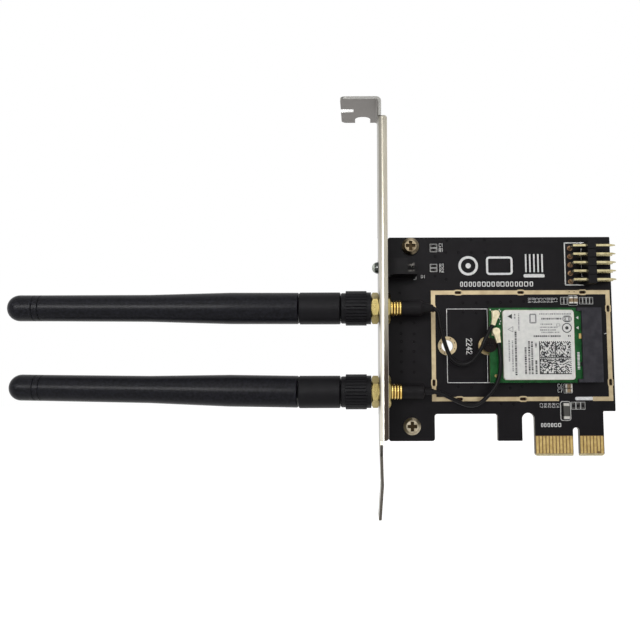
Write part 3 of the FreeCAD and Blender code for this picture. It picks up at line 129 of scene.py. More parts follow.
def below(tree, axis, limit):
    """One before a place along an axis, in millimetres, and zero past it."""
    return calc(tree, "LESS_THAN", coordinate(tree, "Object", axis), limit * MM)


def fade(tree, axis, start, end):
    """Grows from zero at one place along an axis to one at another, in millimetres."""
    spread = node(tree, "ShaderNodeMapRange", From_Min=start * MM, From_Max=end * MM)
    tree.links.new(coordinate(tree, "Object", axis), spread.inputs["Value"])
    return spread.outputs["Result"]


def within(tree, axes, centre, radius):
    """One inside a round bar, in millimetres, that runs along the third axis, and zero outside."""
    squares = []
    for axis, middle in zip(axes, centre):
        offset = calc(tree, "SUBTRACT", coordinate(tree, "Object", axis), middle * MM)
        squares.append(calc(tree, "MULTIPLY", offset, offset))
    return calc(tree, "LESS_THAN", calc(tree, "ADD", *squares), (radius * MM) ** 2)


# The share of a normal along an axis from which a face counts as looking that way
SQUARE_ON = 0.6


def looks_against(tree, axis, share=SQUARE_ON):
    """One on faces that look against an axis, such as the front against Y."""
    return calc(tree, "LESS_THAN", coordinate(tree, "Normal", axis), -share)


def flat_on(tree, axis):
    """One on faces that look along an axis either way."""
    return calc(tree, "GREATER_THAN", calc(tree, "ABSOLUTE", coordinate(tree, "Normal", axis)), SQUARE_ON)


def grain(tree, scale, detail=3.0):
    """Noise over the object's own coordinates, in features per metre."""
    place = tree.nodes.new("ShaderNodeTexCoord")
    noise = node(tree, "ShaderNodeTexNoise", Scale=scale, Detail=detail)
    tree.links.new(place.outputs["Object"], noise.inputs["Vector"])
    return noise.outputs["Fac"]


# Where the noise shows only the dark tone, and where only the light one
RAMP_LOW, RAMP_HIGH = 0.35, 0.65


def ramp(tree, factor, dark, light):
    """Two tones spread over a grey factor."""
    made = tree.nodes.new("ShaderNodeValToRGB")
    made.color_ramp.elements[0].position = RAMP_LOW
    made.color_ramp.elements[0].color = dark
    made.color_ramp.elements[1].position = RAMP_HIGH
    made.color_ramp.elements[1].color = light
    tree.links.new(factor, made.inputs["Fac"])
    return made.outputs["Color"]


# How much finer the gloss varies than the tone does
GLOSS_FINER = 2.3


def surface(name, dark, light, rough, tone_scale, bump=0.0, bump_scale=6000, depth=0.00002, tint=None,
            **sockets):
    """A material with two close tones, uneven gloss and a fine relief."""
    made = bpy.data.materials.new(name)
    made.use_nodes = True
    tree = made.node_tree
    shader = tree.nodes["Principled BSDF"]
    for key, value in sockets.items():
        shader.inputs[key.replace("_", " ")].default_value = value
    colour = ramp(tree, grain(tree, tone_scale), dark, light)
    if tint is not None:
        colour = tint(tree, colour)
    tree.links.new(colour, shader.inputs["Base Color"])
    gloss = node(tree, "ShaderNodeMapRange", To_Min=rough[0], To_Max=rough[1])
    tree.links.new(grain(tree, tone_scale * GLOSS_FINER), gloss.inputs["Value"])
    tree.links.new(gloss.outputs["Result"], shader.inputs["Roughness"])
    if bump:
        relief = node(tree, "ShaderNodeBump", Strength=bump, Distance=depth)
        tree.links.new(grain(tree, bump_scale, detail=2.0), relief.inputs["Height"])
        tree.links.new(relief.outputs["Normal"], shader.inputs["Normal"])
    return made


# Tints that follow the shape of a part: real colours of some parts, and painted light and shade on others

SLOT_FLOOR = -0.5
CONTACT_BEVEL_TOP = 0.66
FLANGE_DIM_FROM, FLANGE_DIM_TO = 42, 25
FLANGE_RIM = -55.8
BEND_SHINE_FROM, BEND_SHINE_TO = 75, 35
BEND_INNER = -57.05
ABOVE_FLANGE = 97.75
TAB_FRONT_EDGE = -14
TONGUE_TOP = 4.5
OUTSIDE_SHARE = 0.8
BEND_SHARE_X, BEND_SHARE_Y = 0.3, 0.25
RECESS_REACH = 1.55
FERRULE_GROOVE_RADIUS = 2.14
LENS_TIP, LENS_ROOT = -59.5, -59.1
LONG_CHIP_TOP = 16.5


def carrier_edges_and_slot_shade(tree, colour):
    """Pale laminate at the board's cut edges and bevel, and brown painted shade inside the plated slots."""
    # Painted shade: the set-back floors of the plated slots are painted dark brown.
    shaded_hollow = both(tree, above(tree, "Y", SLOT_FLOOR), looks_against(tree, "Y"))
    colour = blend(tree, shaded_hollow, colour, srgb(52, 30, 14))
    colour = blend(tree, flat_on(tree, "Y"), srgb(104, 98, 84), colour)
    return blend(tree, below(tree, "Z", CONTACT_BEVEL_TOP), colour, srgb(196, 184, 146))


def module_edges(tree, colour):
    """Bare laminate at the cut edges of the module's board."""
    return blend(tree, flat_on(tree, "Y"), srgb(92, 104, 62), colour)


def painted_steel_light_and_shade(tree, colour):
    """Painted light and shade on the bracket: a painted highlight on the bend, painted shade on the flange's
    lower face with a painted highlight along its rim, a painted tone on the outer face, painted light on the
    tab's front edge and slit, and painted shade on the tab's underside and on the tongue.
    """
    front = looks_against(tree, "Y")
    # Painted shade: the flange's front face darkens towards the bottom.
    dim = both(tree, front, fade(tree, "Z", FLANGE_DIM_FROM, FLANGE_DIM_TO))
    colour = blend(tree, dim, colour, srgb(58, 51, 45))
    # Painted highlight along the flange's rim within that shade.
    rim = both(tree, dim, above(tree, "X", FLANGE_RIM))
    colour = blend(tree, rim, colour, srgb(186, 178, 168))
    # Painted tone on the plate's outer face, standing in for how light falls on it.
    colour = blend(tree, looks_against(tree, "X", OUTSIDE_SHARE), colour, srgb(150, 146, 137))
    # Painted highlight on the bend, brighter towards the top.
    shine = fade(tree, "Z", BEND_SHINE_FROM, BEND_SHINE_TO)
    painted_bend_highlight = blend(tree, shine, srgb(134, 130, 119), srgb(236, 232, 218))
    colour = blend(tree, both(tree, front, below(tree, "X", BEND_INNER)), colour, painted_bend_highlight)
    painted_turn_highlight = blend(tree, shine, srgb(150, 146, 135), srgb(224, 219, 205))
    turned = both(tree, looks_against(tree, "X", BEND_SHARE_X), looks_against(tree, "Y", BEND_SHARE_Y))
    colour = blend(tree, turned, colour, painted_turn_highlight)
    # Painted light on the tab's front-facing faces: grey at the front edge, pale further back at the slit.
    painted_tab_edge_light = blend(tree, above(tree, "Y", TAB_FRONT_EDGE), srgb(122, 121, 118), srgb(204, 204, 202))
    colour = blend(tree, both(tree, front, above(tree, "Z", ABOVE_FLANGE)), colour, painted_tab_edge_light)
    # Painted shade on faces that look down.
    colour = blend(tree, looks_against(tree, "Z"), colour, srgb(104, 100, 96))
    # Painted shade on the tongue's front and back faces.
    tongue = both(tree, below(tree, "Z", TONGUE_TOP), flat_on(tree, "Y"))
    return blend(tree, tongue, colour, srgb(80, 76, 70))


def painted_recess_shade(centre, face, dark):
    """Painted shade: a dark bottom of a cross recess below a screw head's face."""
    def tint(tree, colour):
        inside = both(tree, within(tree, "XZ", centre, RECESS_REACH), above(tree, "Y", face))
        return blend(tree, inside, colour, dark)
    return tint


def painted_groove_shade(height):
    """Painted shade in the grooves between a ferrule's ribs."""
    def tint(tree, colour):
        shaded_hollow = within(tree, "YZ", (JACK_DEPTH, height), FERRULE_GROOVE_RADIUS)
        # Painted shade at the bottoms of the grooves.
        return blend(tree, shaded_hollow, colour, srgb(112, 72, 24))
    return tint


def lens_root_tone(tree, colour):
    """A pale tip that turns dark green towards the root of the status light."""
    return blend(tree, fade(tree, "X", LENS_TIP, LENS_ROOT), colour, srgb(14, 30, 18))


def chip_kinds(tree, colour):
    """The long chip near the contacts has a dark body."""
    return blend(tree, below(tree, "Z", LONG_CHIP_TOP), colour, srgb(44, 43, 38))


# Boards and plating

mask = surface("black_solder_mask", srgb(9, 7, 10), srgb(14, 12, 15), rough=(0.3, 0.38), tone_scale=220,
               bump=0.2, bump_scale=2600, tint=carrier_edges_and_slot_shade, Specular_IOR_Level=0.1)
# Dark tone of the tented vias, also used as painted shade for the small drilled holes.
dark_via_and_hole_shade = surface("tented_via", srgb(6, 5, 7), srgb(10, 9, 11), rough=(0.4, 0.5), tone_scale=900,
                   Specular_IOR_Level=0.05)
green = surface("green_solder_mask", srgb(16, 66, 30), srgb(28, 88, 42), rough=(0.3, 0.42), tone_scale=500,
                bump=0.2, bump_scale=2600, tint=module_edges, Specular_IOR_Level=0.12)
laminate = surface("bare_laminate", srgb(92, 66, 26), srgb(112, 84, 38), rough=(0.45, 0.6), tone_scale=1500,
                   bump=0.2)
gold = surface("pale_gold_plating", srgb(149, 134, 106), srgb(167, 152, 122), rough=(0.32, 0.42),
               tone_scale=500, bump=0.1, bump_scale=5000, Metallic=1.0)
contact_gold = surface("contact_gold", srgb(162, 138, 87), srgb(182, 158, 104), rough=(0.28, 0.38),
                       tone_scale=900, Metallic=1.0)
copper = surface("copper_pad", srgb(104, 80, 62), srgb(146, 120, 98), rough=(0.3, 0.45), tone_scale=1800,
                 bump=0.2, Metallic=1.0)
solder = surface("solder", srgb(150, 148, 142), srgb(178, 176, 170), rough=(0.25, 0.4), tone_scale=1500,
                 bump=0.2, Metallic=1.0)

# Metal parts

# The bracket's tint paints light and shade into its colour.
steel = surface("plated_steel", srgb(122, 118, 108), srgb(132, 128, 117), rough=(0.3, 0.36), tone_scale=70,
                tint=painted_steel_light_and_shade, Metallic=1.0)
brass = surface("gold_brass", srgb(144, 129, 80), srgb(162, 147, 96), rough=(0.24, 0.32), tone_scale=260,
                bump=0.05, bump_scale=1200, Metallic=1.0)
tin = surface("tinned_shield", srgb(176, 172, 160), srgb(200, 196, 184), rough=(0.3, 0.4), tone_scale=500,
              bump=0.1, Metallic=1.0)
# The module screw's tint paints shade into its cross recess.
dark_steel = surface("dark_screw", srgb(12, 7, 7), srgb(24, 14, 12), rough=(0.3, 0.42), tone_scale=900,
                     tint=painted_recess_shade(MODULE_SCREW, MODULE_SCREW_FACE, srgb(6, 5, 8)),
                     Specular_IOR_Level=0.08)
pin_gold = surface("pin_gold", srgb(138, 129, 96), srgb(166, 157, 124), rough=(0.22, 0.32), tone_scale=900,
                   Metallic=1.0)
plug_metal = surface("plug_metal", srgb(176, 166, 138), srgb(202, 192, 164), rough=(0.35, 0.5),
                     tone_scale=900, bump=0.2, Metallic=0.7)
dull_lead = surface("dull_lead", srgb(34, 32, 31), srgb(88, 86, 83), rough=(0.3, 0.45), tone_scale=2200,
                    bump=0.2, Metallic=1.0)

# Plastics, ceramic and print

boot_black = surface("heat_shrink", srgb(12, 11, 12), srgb(18, 16, 18), rough=(0.5, 0.62), tone_scale=600,
                     bump=0.3, bump_scale=3500, Specular_IOR_Level=0.12)
jacket = surface("cable_jacket", srgb(10, 9, 10), srgb(16, 15, 16), rough=(0.35, 0.5), tone_scale=1200,
                 bump=0.1, Specular_IOR_Level=0.12)
whip_black = surface("whip_plastic", srgb(4, 4, 8), srgb(20, 20, 26), rough=(0.28, 0.42), tone_scale=1300,
                     bump=0.2, bump_scale=1800, depth=0.00003, Specular_IOR_Level=0.11)
coupling_black = surface("coupling_plastic", srgb(9, 8, 11), srgb(14, 13, 16), rough=(0.4, 0.5),
                         tone_scale=300, bump=0.25, bump_scale=7000, Specular_IOR_Level=0.12)
moulded = surface("black_moulding", srgb(42, 41, 46), srgb(52, 51, 56), rough=(0.42, 0.54), tone_scale=500,
                  bump=0.2, bump_scale=5000, Specular_IOR_Level=0.12)
header_black = surface("header_moulding", srgb(11, 10, 11), srgb(17, 15, 17), rough=(0.42, 0.52),
                       tone_scale=500, bump=0.2, Specular_IOR_Level=0.12)
lens = surface("clear_lens", srgb(186, 194, 182), srgb(206, 212, 202), rough=(0.12, 0.2), tone_scale=600,
               tint=lens_root_tone, Transmission_Weight=0.25)
ceramic = surface("brown_ceramic", srgb(104, 84, 58), srgb(136, 114, 82), rough=(0.45, 0.6), tone_scale=1500,
                  bump=0.2, tint=chip_kinds)
paper = surface("label_paper", srgb(199, 199, 196), srgb(210, 209, 205), rough=(0.55, 0.65), tone_scale=900,
                bump=0.15)
ink = surface("label_ink", srgb(26, 26, 28), srgb(44, 44, 46), rough=(0.6, 0.7), tone_scale=2000)
faint_ink = surface("faint_ink", srgb(112, 112, 113), srgb(140, 140, 140), rough=(0.6, 0.7), tone_scale=2000)
silk = surface("white_silkscreen", srgb(190, 190, 190), srgb(214, 214, 212), rough=(0.55, 0.68),
               tone_scale=2500, bump=0.2)
thin_silk = surface("thin_silkscreen", srgb(146, 146, 144), srgb(178, 178, 176), rough=(0.55, 0.68),
                    tone_scale=2500, bump=0.2)


# Finish of each carried part

# The two screws are the same plated steel; the upper one's darker tones are painted shade.
SCREW_LIT_AND_SHADED_TONES = {"upper": (srgb(90, 80, 64), srgb(134, 122, 100)),
               "lower": (srgb(136, 126, 106), srgb(184, 174, 152))}


def ferrule_brass(side):
    """Bright brass with painted shade in the grooves."""
    return surface(f"crimp_brass_{side}", srgb(204, 170, 90), srgb(228, 202, 128), rough=(0.2, 0.3),
                   tone_scale=800, bump=0.05, tint=painted_groove_shade(JACK_HEIGHT[side]), Metallic=1.0)


def screw_plating(side):
    """Plated steel of a bracket screw, with painted shade making the upper one darker and painted shade in
    its cross recess.
    """
    centre = (BRACKET_SCREW_X, BRACKET_SCREW_HEIGHT[side])
    # Painted shade in the screw's cross recess.
    shaded_recess = painted_recess_shade(centre, BRACKET_SCREW_FACE, srgb(48, 39, 27))
    return surface(f"plated_screw_{side}", *SCREW_LIT_AND_SHADED_TONES[side], rough=(0.24, 0.36), tone_scale=700, bump=0.1,
                   tint=shaded_recess, Metallic=1.0)


NODE_MATERIALS = {
    "pcb": mask, "guard_strip": gold, "hole_pads": gold, "edge_contacts": contact_gold, "bracket": steel,
    "module_pcb": green, "module_shield": tin, "module_label": paper, "module_receptacles": plug_metal,
    "module_standoff": brass, "module_screw": dark_steel, "socket_body": moulded, "socket_tails": solder,
    "header_body": header_black, "header_pins": pin_gold, "led_holder": header_black, "status_lamp": lens,
    "led_leads": dull_lead, "chip_bodies": ceramic, "chip_caps": solder,
}
for side in ("upper", "lower"):
    NODE_MATERIALS.update({
        f"bracket_screw_{side}": screw_plating(side), f"crimp_ferrule_{side}": ferrule_brass(side),
        f"sma_jack_{side}": brass, f"sma_nut_{side}": brass,
        f"cable_boot_{side}": boot_black, f"cable_plug_{side}": plug_metal,
        f"coupling_sleeve_{side}": coupling_black, f"coupling_insert_{side}": brass,
        f"antenna_elbow_{side}": coupling_black, f"hinge_pin_{side}": solder,
        f"hinge_tongue_{side}": coupling_black, f"antenna_whip_{side}": whip_black,
        f"radiator_{side}": brass,
    })
for name, finish in NODE_MATERIALS.items():
    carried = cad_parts[name]
    if carried.material_slots:
        for place in carried.material_slots:
            place.material = finish
    else:
        carried.data.materials.append(finish)


# Mesh tools, in millimetres; a layer is a pair of depths, the first nearer to the camera

SUNK = 0.004


def on_front(face, height):
    """A layer on a face that looks to the front, let in a little so that no gap shows."""
    return face - height, face + SUNK


def on_back(height):
    """A layer on the back of the carrier board."""
    return BOARD_BACK - SUNK, BOARD_BACK + height


BOARD_INK = on_front(BOARD_FACE, 0.02)
BOARD_PAD = on_front(BOARD_FACE, 0.03)
MODULE_INK = on_front(MODULE_FACE, 0.02)
LABEL_INK = on_front(LABEL_FACE, 0.012)
STRIP_DRILL = on_front(STRIP_FACE, 0.008)


def finish_mesh(name, mesh, finish):
    """Turns a bmesh in millimetres into a piece that rides the card."""
    data = bpy.data.meshes.new(name)
    bmesh.ops.scale(mesh, vec=(MM, MM, MM), verts=mesh.verts)
    bmesh.ops.recalc_face_normals(mesh, faces=mesh.faces)
    mesh.to_mesh(data)
    mesh.free()
    piece = bpy.data.objects.new(name, data)
    scene.collection.objects.link(piece)
    data.materials.append(finish)
    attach(piece, "card")


def add_prism(mesh, outline, layer):
    """A flat prism on an XZ outline."""
    near, far = [[mesh.verts.new((x, depth, z)) for x, z in outline] for depth in layer]
    mesh.faces.new(near)
    mesh.faces.new(far[::-1])
    for index in range(len(outline)):
        after = (index + 1) % len(outline)
        mesh.faces.new((near[index], far[index], far[after], near[after]))


def add_rect(mesh, x0, z0, x1, z1, layer):
    """A flat box between two corners."""
    add_prism(mesh, [(x0, z0), (x1, z0), (x1, z1), (x0, z1)], layer)


def add_frame(mesh, outline, inner, layer):
    """A flat ring between two outlines of the same number of points."""
    loops = [[mesh.verts.new((x, depth, z)) for x, z in line]
             for line in (outline, inner) for depth in layer]
    out_near, out_far, in_near, in_far = loops
    for index in range(len(outline)):
        after = (index + 1) % len(outline)
        mesh.faces.new((out_near[index], out_near[after], in_near[after], in_near[index]))
        mesh.faces.new((out_far[index], in_far[index], in_far[after], out_far[after]))
        mesh.faces.new((out_near[index], out_far[index], out_far[after], out_near[after]))
        mesh.faces.new((in_near[index], in_near[after], in_far[after], in_far[index]))


def rounded(x0, z0, x1, z1, radius, steps=6):
    """Outline of a rectangle with round corners."""
    points = []
    for cx, cz, start in ((x1 - radius, z1 - radius, 0), (x0 + radius, z1 - radius, 90),
                          (x0 + radius, z0 + radius, 180), (x1 - radius, z0 + radius, 270)):
        for step in range(steps + 1):
            angle = math.radians(start + 90 * step / steps)
            points.append((cx + radius * math.cos(angle), cz + radius * math.sin(angle)))
    return points


def circle(x, z, radius, steps):
    """Outline of a circle."""
    angles = [2 * math.pi * step / steps for step in range(steps)]
    return [(x + radius * math.cos(angle), z + radius * math.sin(angle)) for angle in angles]


CORNER_STEPS = 4
SHARPEST_CORNER = 0.02


def add_box_frame(mesh, x0, z0, x1, z1, width, layer, radius=0.12):
    """An outlined box of a given line width, with round corners."""
    outer = rounded(x0, z0, x1, z1, radius, CORNER_STEPS)
    inner = rounded(x0 + width, z0 + width, x1 - width, z1 - width, max(radius - width, SHARPEST_CORNER),
                    CORNER_STEPS)
    add_frame(mesh, outer, inner, layer)


def add_ring(mesh, x, z, outer, inner, layer, steps):
    """A flat round ring."""
    add_frame(mesh, circle(x, z, outer, steps), circle(x, z, inner, steps), layer)


def add_stroke(mesh, points, width, layer):
    """A drawn line with square ends through XZ points."""
    half = width / 2
    for (x0, z0), (x1, z1) in zip(points, points[1:]):
        length = math.hypot(x1 - x0, z1 - z0)
        ux, uz = (x1 - x0) / length * half, (z1 - z0) / length * half
        add_prism(mesh, [(x0 - ux + uz, z0 - uz - ux), (x1 + ux + uz, z1 + uz - ux),
                         (x1 + ux - uz, z1 + uz + ux), (x0 - ux - uz, z0 - uz + ux)], layer)


# Strokes of each letter in a square of side one
GLYPHS = {
    "1": [[(0.2, 0.8), (0.5, 1), (0.5, 0)]],
    "2": [[(0, 0.8), (0.2, 1), (0.8, 1), (1, 0.75), (0, 0), (1, 0)]],
    "3": [[(0, 1), (1, 1), (0.5, 0.55), (1, 0.4), (0.9, 0.05), (0.1, 0)]],
    "4": [[(0.75, 0), (0.75, 1), (0, 0.3), (1, 0.3)]],
    "6": [[(0.9, 1), (0.15, 0.6), (0, 0.2), (0.3, 0), (0.9, 0.1), (0.9, 0.45), (0.1, 0.5)]],
    "7": [[(0, 1), (1, 1), (0.35, 0)]],
    "C": [[(1, 0.85), (0.7, 1), (0.2, 1), (0, 0.7), (0, 0.3), (0.2, 0), (0.7, 0), (1, 0.15)]],
    "D": [[(0, 0), (0, 1), (0.6, 1), (1, 0.7), (1, 0.3), (0.6, 0), (0, 0)]],
    "R": [[(0, 0), (0, 1), (0.8, 1), (1, 0.75), (0.8, 0.5), (0, 0.5)], [(0.5, 0.5), (1, 0)]],
}
LETTER_STEP = 1.5
LETTER_WEIGHT = 0.15


def add_mark(mesh, text, x, z, height, width, turned=False):
    """A generic reference mark on the board, drawn along X or turned to run down."""
    step = height * width * LETTER_STEP
    for place, letter in enumerate(text):
        for line in GLYPHS[letter]:
            points = [(place * step + u * height * width, v * height) for u, v in line]
            points = [(x + v, z - u) for u, v in points] if turned else [(x + u, z + v) for u, v in points]
            add_stroke(mesh, points, height * LETTER_WEIGHT, BOARD_INK)


SHORTEST_DASH = 0.08
DASH_RUNS = (0.14, 0.5)
DASH_GAPS = (0.08, 0.22)


def add_dashes(mesh, x0, z0, x1, z1, layer, seed, upright=False):
    """A row of short strokes of uneven length, along X or upright."""
    chance = random.Random(seed)
    here, end = (z0, z1) if upright else (x0, x1)
    while here < end - SHORTEST_DASH:
        run = min(chance.uniform(*DASH_RUNS), end - here)
        if upright:
            add_rect(mesh, x0, here, x1, here + run, layer)
        else:
            add_rect(mesh, here, z0, here + run, z1, layer)
        here += run + chance.uniform(*DASH_GAPS)


def add_boxes(mesh, x0, z0, x1, z1, width, seed, runs, gaps):
    """A row of small outlined boxes of uneven width on the board."""
    chance = random.Random(seed)
    while x0 < x1 - runs[0]:
        run = min(chance.uniform(*runs), x1 - x0)
        add_box_frame(mesh, x0, z0, x0 + run, z1, width, BOARD_INK, width)
        x0 += run + chance.uniform(*gaps)


# Pigtails, on the same route points as the solids

CABLE_DIAMETER = 1.2
PIGTAIL_ROUTES = {
    "upper": [
        (-42.41, -7.0, 43.1), (-40.95, -7.0, 42.35), (-40.6, -6.9, 40.2), (-40.2, -6.6, 37.5),
        (-39.5, -6.1, 34.7), (-38.6, -5.5, 31.9), (-37.5, -4.9, 29.2), (-35.95, -4.4, 27.4),
        (-33.7, -4.1, 26.7), (-31.4, -4.3, 27.3), (-29.75, -4.9, 29.05), (-28.2, -5.8, 31.6),
        (-27.1, -6.1, 34.3), (-25.95, -5.8, 36.8), (-24.751, -5.175, 38.273)],
    "lower": [
        (-42.51, -7.0, 18.95), (-40.0, -6.9, 18.3), (-37.4, -6.4, 17.0), (-34.6, -5.6, 15.7),
        (-31.9, -4.9, 14.8), (-29.3, -4.7, 15.2), (-27.4, -4.8, 16.7), (-25.6, -5.0, 18.7),
        (-24.0, -5.3, 20.9), (-23.1, -5.5, 23.8), (-22.75, -5.5, 26.9), (-22.85, -5.3, 30.1),
        (-23.171, -5.175, 33.070)],
}


def pigtail(side):
    """A coaxial pigtail from its boot to its snap-on plug, as a curve in metres in place of the modelled
    cable, which it hides.
    """
    points = PIGTAIL_ROUTES[side]
    data = bpy.data.curves.new(f"pigtail_{side}", "CURVE")
    data.dimensions = "3D"
    data.bevel_depth = CABLE_DIAMETER / 2 * MM
    data.bevel_resolution = 6
    data.resolution_u = 16
    spline = data.splines.new("NURBS")
    spline.points.add(len(points) - 1)
    for control, place in zip(spline.points, points):
        control.co = (*(Vector(place) * MM), 1.0)
    spline.order_u = 3
    spline.use_endpoint_u = True
    data.use_fill_caps = True
    data.materials.append(jacket)
    cable = bpy.data.objects.new(f"pigtail_{side}", data)
    scene.collection.objects.link(cable)
    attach(cable, "card")
    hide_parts(f"coax_{side}")


pigtail("upper")
pigtail("lower")


# Printed lines on the carrier board

FINE_LINE = 0.18
FINE_ROUTES = (
    [(-37.7, 35.1), (-37.7, 43.5), (-25.55, 43.5), (-25.55, 36.3)],
    [(-37.7, 29.9), (-37.7, 21.5), (-24.0, 21.5)],
    [(-25.75, 29.4), (-25.75, 21.7)],
    [(-46.75, 53.6), (-46.75, 52.5), (-47.4, 52.5)],
    [(9.3, 35.9), (9.9, 36.1)],
)
HEADER_LINE = 0.32
HEADER_ROUTE = [(4.1, 63.48), (-1.85, 63.48), (-1.85, 50.67), (4.3, 50.67), (4.3, 51.1)]
HEADER_TICK_LINE = 0.2
HEADER_TICK_X = 3.1
HEADER_TICK_HALF = 0.35
HEADER_TICK_HEIGHTS = (61.3, 58.7, 56.2, 53.6)


def silk_lines():
    """Thin outlines of the module's places and the light, and the header's heavier outline and ticks."""
    mesh = bmesh.new()
    for route in FINE_ROUTES:
        add_stroke(mesh, route, FINE_LINE, BOARD_INK)
    add_stroke(mesh, HEADER_ROUTE, HEADER_LINE, BOARD_INK)
    for z in HEADER_TICK_HEIGHTS:
        tick = [(HEADER_TICK_X, z - HEADER_TICK_HALF), (HEADER_TICK_X, z + HEADER_TICK_HALF)]
        add_stroke(mesh, tick, HEADER_TICK_LINE, BOARD_INK)
    finish_mesh("silk_lines", mesh, silk)


THICK_BAR = (0.0, 16.25, 5.28, 17.24)
THICK_BAR_HEIGHT = 0.04
BAR_END_RADIUS = 0.46


def silk_bar():
    """A thick printed bar across the guard strip's gap."""
    mesh = bmesh.new()
    add_prism(mesh, rounded(*THICK_BAR, BAR_END_RADIUS), on_front(BOARD_FACE, THICK_BAR_HEIGHT))
    finish_mesh("silk_bar", mesh, silk)


# Places for small parts

CELL_LINE = 0.15
# Each row is its box, its number of places and the direction that they follow
FOOTPRINT_ROWS = (
    ((-42.5, 60.82, -40.27, 63.33), 2, "z"),
    ((-42.52, 54.77, -40.35, 57.17), 2, "z"),
    ((-3.56, 44.74, -1.45, 47.03), 2, "x"),
    ((2.11, 44.82, 6.26, 46.98), 4, "x"),
    ((-1.25, 13.5, 2.92, 15.75), 3, "x"),
)
# Each outline round a fitted part is its box, line width and corner radius
PART_OUTLINES = (
    ((-1.32, 44.4, 1.65, 47.5), 0.17, 0.5),
    ((-3.35, 18.3, -0.7, 21.2), 0.17, 0.3),
    ((-4.54, 10.2, -1.35, 16.0), 0.26, 0.75),
)
PAD_HALF = 0.2
# A pad's distance from its cell's end and sides, for each direction of a row
PAD_INSETS = {"x": (0.5, 0.3), "z": (0.48, 0.34)}


def add_footprints(cells, pads, box, count, along):
    """A row of outlined empty places for small parts, each with its two dull pads."""
    x0, z0, x1, z1 = box
    end, side = PAD_INSETS[along]
    for place in range(count):
        if along == "x":
            low, high = x0 + (x1 - x0) * place / count, x0 + (x1 - x0) * (place + 1) / count
            cell = (low, z0, high, z1)
            centres = [((low + high) / 2, z) for z in (z0 + end, z1 - end)]
            half = ((high - low) / 2 - side, PAD_HALF)
        else:
            low, high = z0 + (z1 - z0) * place / count, z0 + (z1 - z0) * (place + 1) / count
            cell = (x0, low, x1, high)
            centres = [(x, (low + high) / 2) for x in (x0 + end, x1 - end)]
            half = (PAD_HALF, (high - low) / 2 - side)
        add_box_frame(cells, *cell, CELL_LINE, BOARD_INK)
        for x, z in centres:
            add_rect(pads, x - half[0], z - half[1], x + half[0], z + half[1], BOARD_PAD)


def footprints():
    """All empty places with their pads, and the outlines round the fitted chips."""
    cells, pads = bmesh.new(), bmesh.new()
    for row in FOOTPRINT_ROWS:
        add_footprints(cells, pads, *row)
    for box, width, radius in PART_OUTLINES:
        add_box_frame(cells, *box, width, BOARD_INK, radius)
    finish_mesh("silk_footprints", cells, thin_silk)
    finish_mesh("solder_pads", pads, dull_lead)


# Generic reference marks

# Each mark is its text, x, z, height and letter width
UPRIGHT_MARKS = (
    ("C1", -39.7, 62.4, 1.05, 0.45), ("R1", -39.7, 60.95, 1.05, 0.45), ("R3", -39.6, 56.1, 1.05, 0.45),
    ("R2", -39.6, 54.7, 1.05, 0.45), ("D1", -45.2, 52.9, 0.85, 0.6), ("C6", -5.05, 20.0, 1.05, 0.5),
    ("C7", -5.05, 18.6, 1.05, 0.5),
)
LENGTH_MARK = ("2242", -31.9, 34.6, 1.6, 0.52)
# Each row is its texts, first x, step, z and height
TURNED_ROWS = (
    (("R4", "R7", "C3", "C2", "C4", "R6", "R4", "C1"), -13.2, 1.12, 46.7, 0.86),
    (("C7", "R6", "R2", "R3", "C4"), -10.5, 1.22, 15.3, 0.8),
)
TURNED_WIDTH = 0.62


def silk_references():
    """Reference designators beside the parts, and the length mark of the longer module."""
    mesh = bmesh.new()
    for text, x, z, height, width in UPRIGHT_MARKS:
        add_mark(mesh, text, x, z, height, width)
    add_mark(mesh, *LENGTH_MARK, turned=True)
    for texts, first, step, z, height in TURNED_ROWS:
        for place, text in enumerate(texts):
            add_mark(mesh, text, first + place * step, z, height, TURNED_WIDTH, turned=True)
    finish_mesh("silk_references", mesh, silk)


# Plain printed figures

TARGET = (-31.0, 56.6)
TARGET_RING = (2.95, 2.2)
TARGET_SPOT = 0.8
ROUND_BOX = (-25.6, 53.8, -17.6, 59.4)
ROUND_BOX_LINE, ROUND_BOX_CORNER = 0.62, 1.0
BASE_LINE = (-14.4, 53.0, -8.05, 54.0)
BAR_COUNT = 5
BAR_STEP = 1.23
FIRST_BAR = (-13.85, -13.4)
BAR_REACH = (54.6, 60.1)
LONG_BOX_ROW = (-33.5, 50.25, -11.2, 51.75)
SHORT_BOX_ROW = (-10.3, 8.4, -4.0, 9.55)


def silk_fields():
    """A target, a rounded box, a set of bars over a base line, and two rows of small boxes."""
    mesh = bmesh.new()
    add_ring(mesh, *TARGET, *TARGET_RING, BOARD_INK, steps=40)
    add_prism(mesh, circle(*TARGET, TARGET_SPOT, steps=24), BOARD_INK)
    add_box_frame(mesh, *ROUND_BOX, ROUND_BOX_LINE, BOARD_INK, ROUND_BOX_CORNER)
    for place in range(BAR_COUNT):
        left, right = (edge + place * BAR_STEP for edge in FIRST_BAR)
        add_rect(mesh, left, BAR_REACH[0], right, BAR_REACH[1], BOARD_INK)
    add_prism(mesh, rounded(*BASE_LINE, BAR_END_RADIUS), BOARD_INK)
    add_boxes(mesh, *LONG_BOX_ROW, width=0.24, seed=31, runs=(0.85, 1.25), gaps=(0.28, 0.5))
    add_boxes(mesh, *SHORT_BOX_ROW, width=0.2, seed=32, runs=(0.62, 0.9), gaps=(0.2, 0.34))
    finish_mesh("silk_fields", mesh, silk)


# Vias, drilled spots, pads and solder

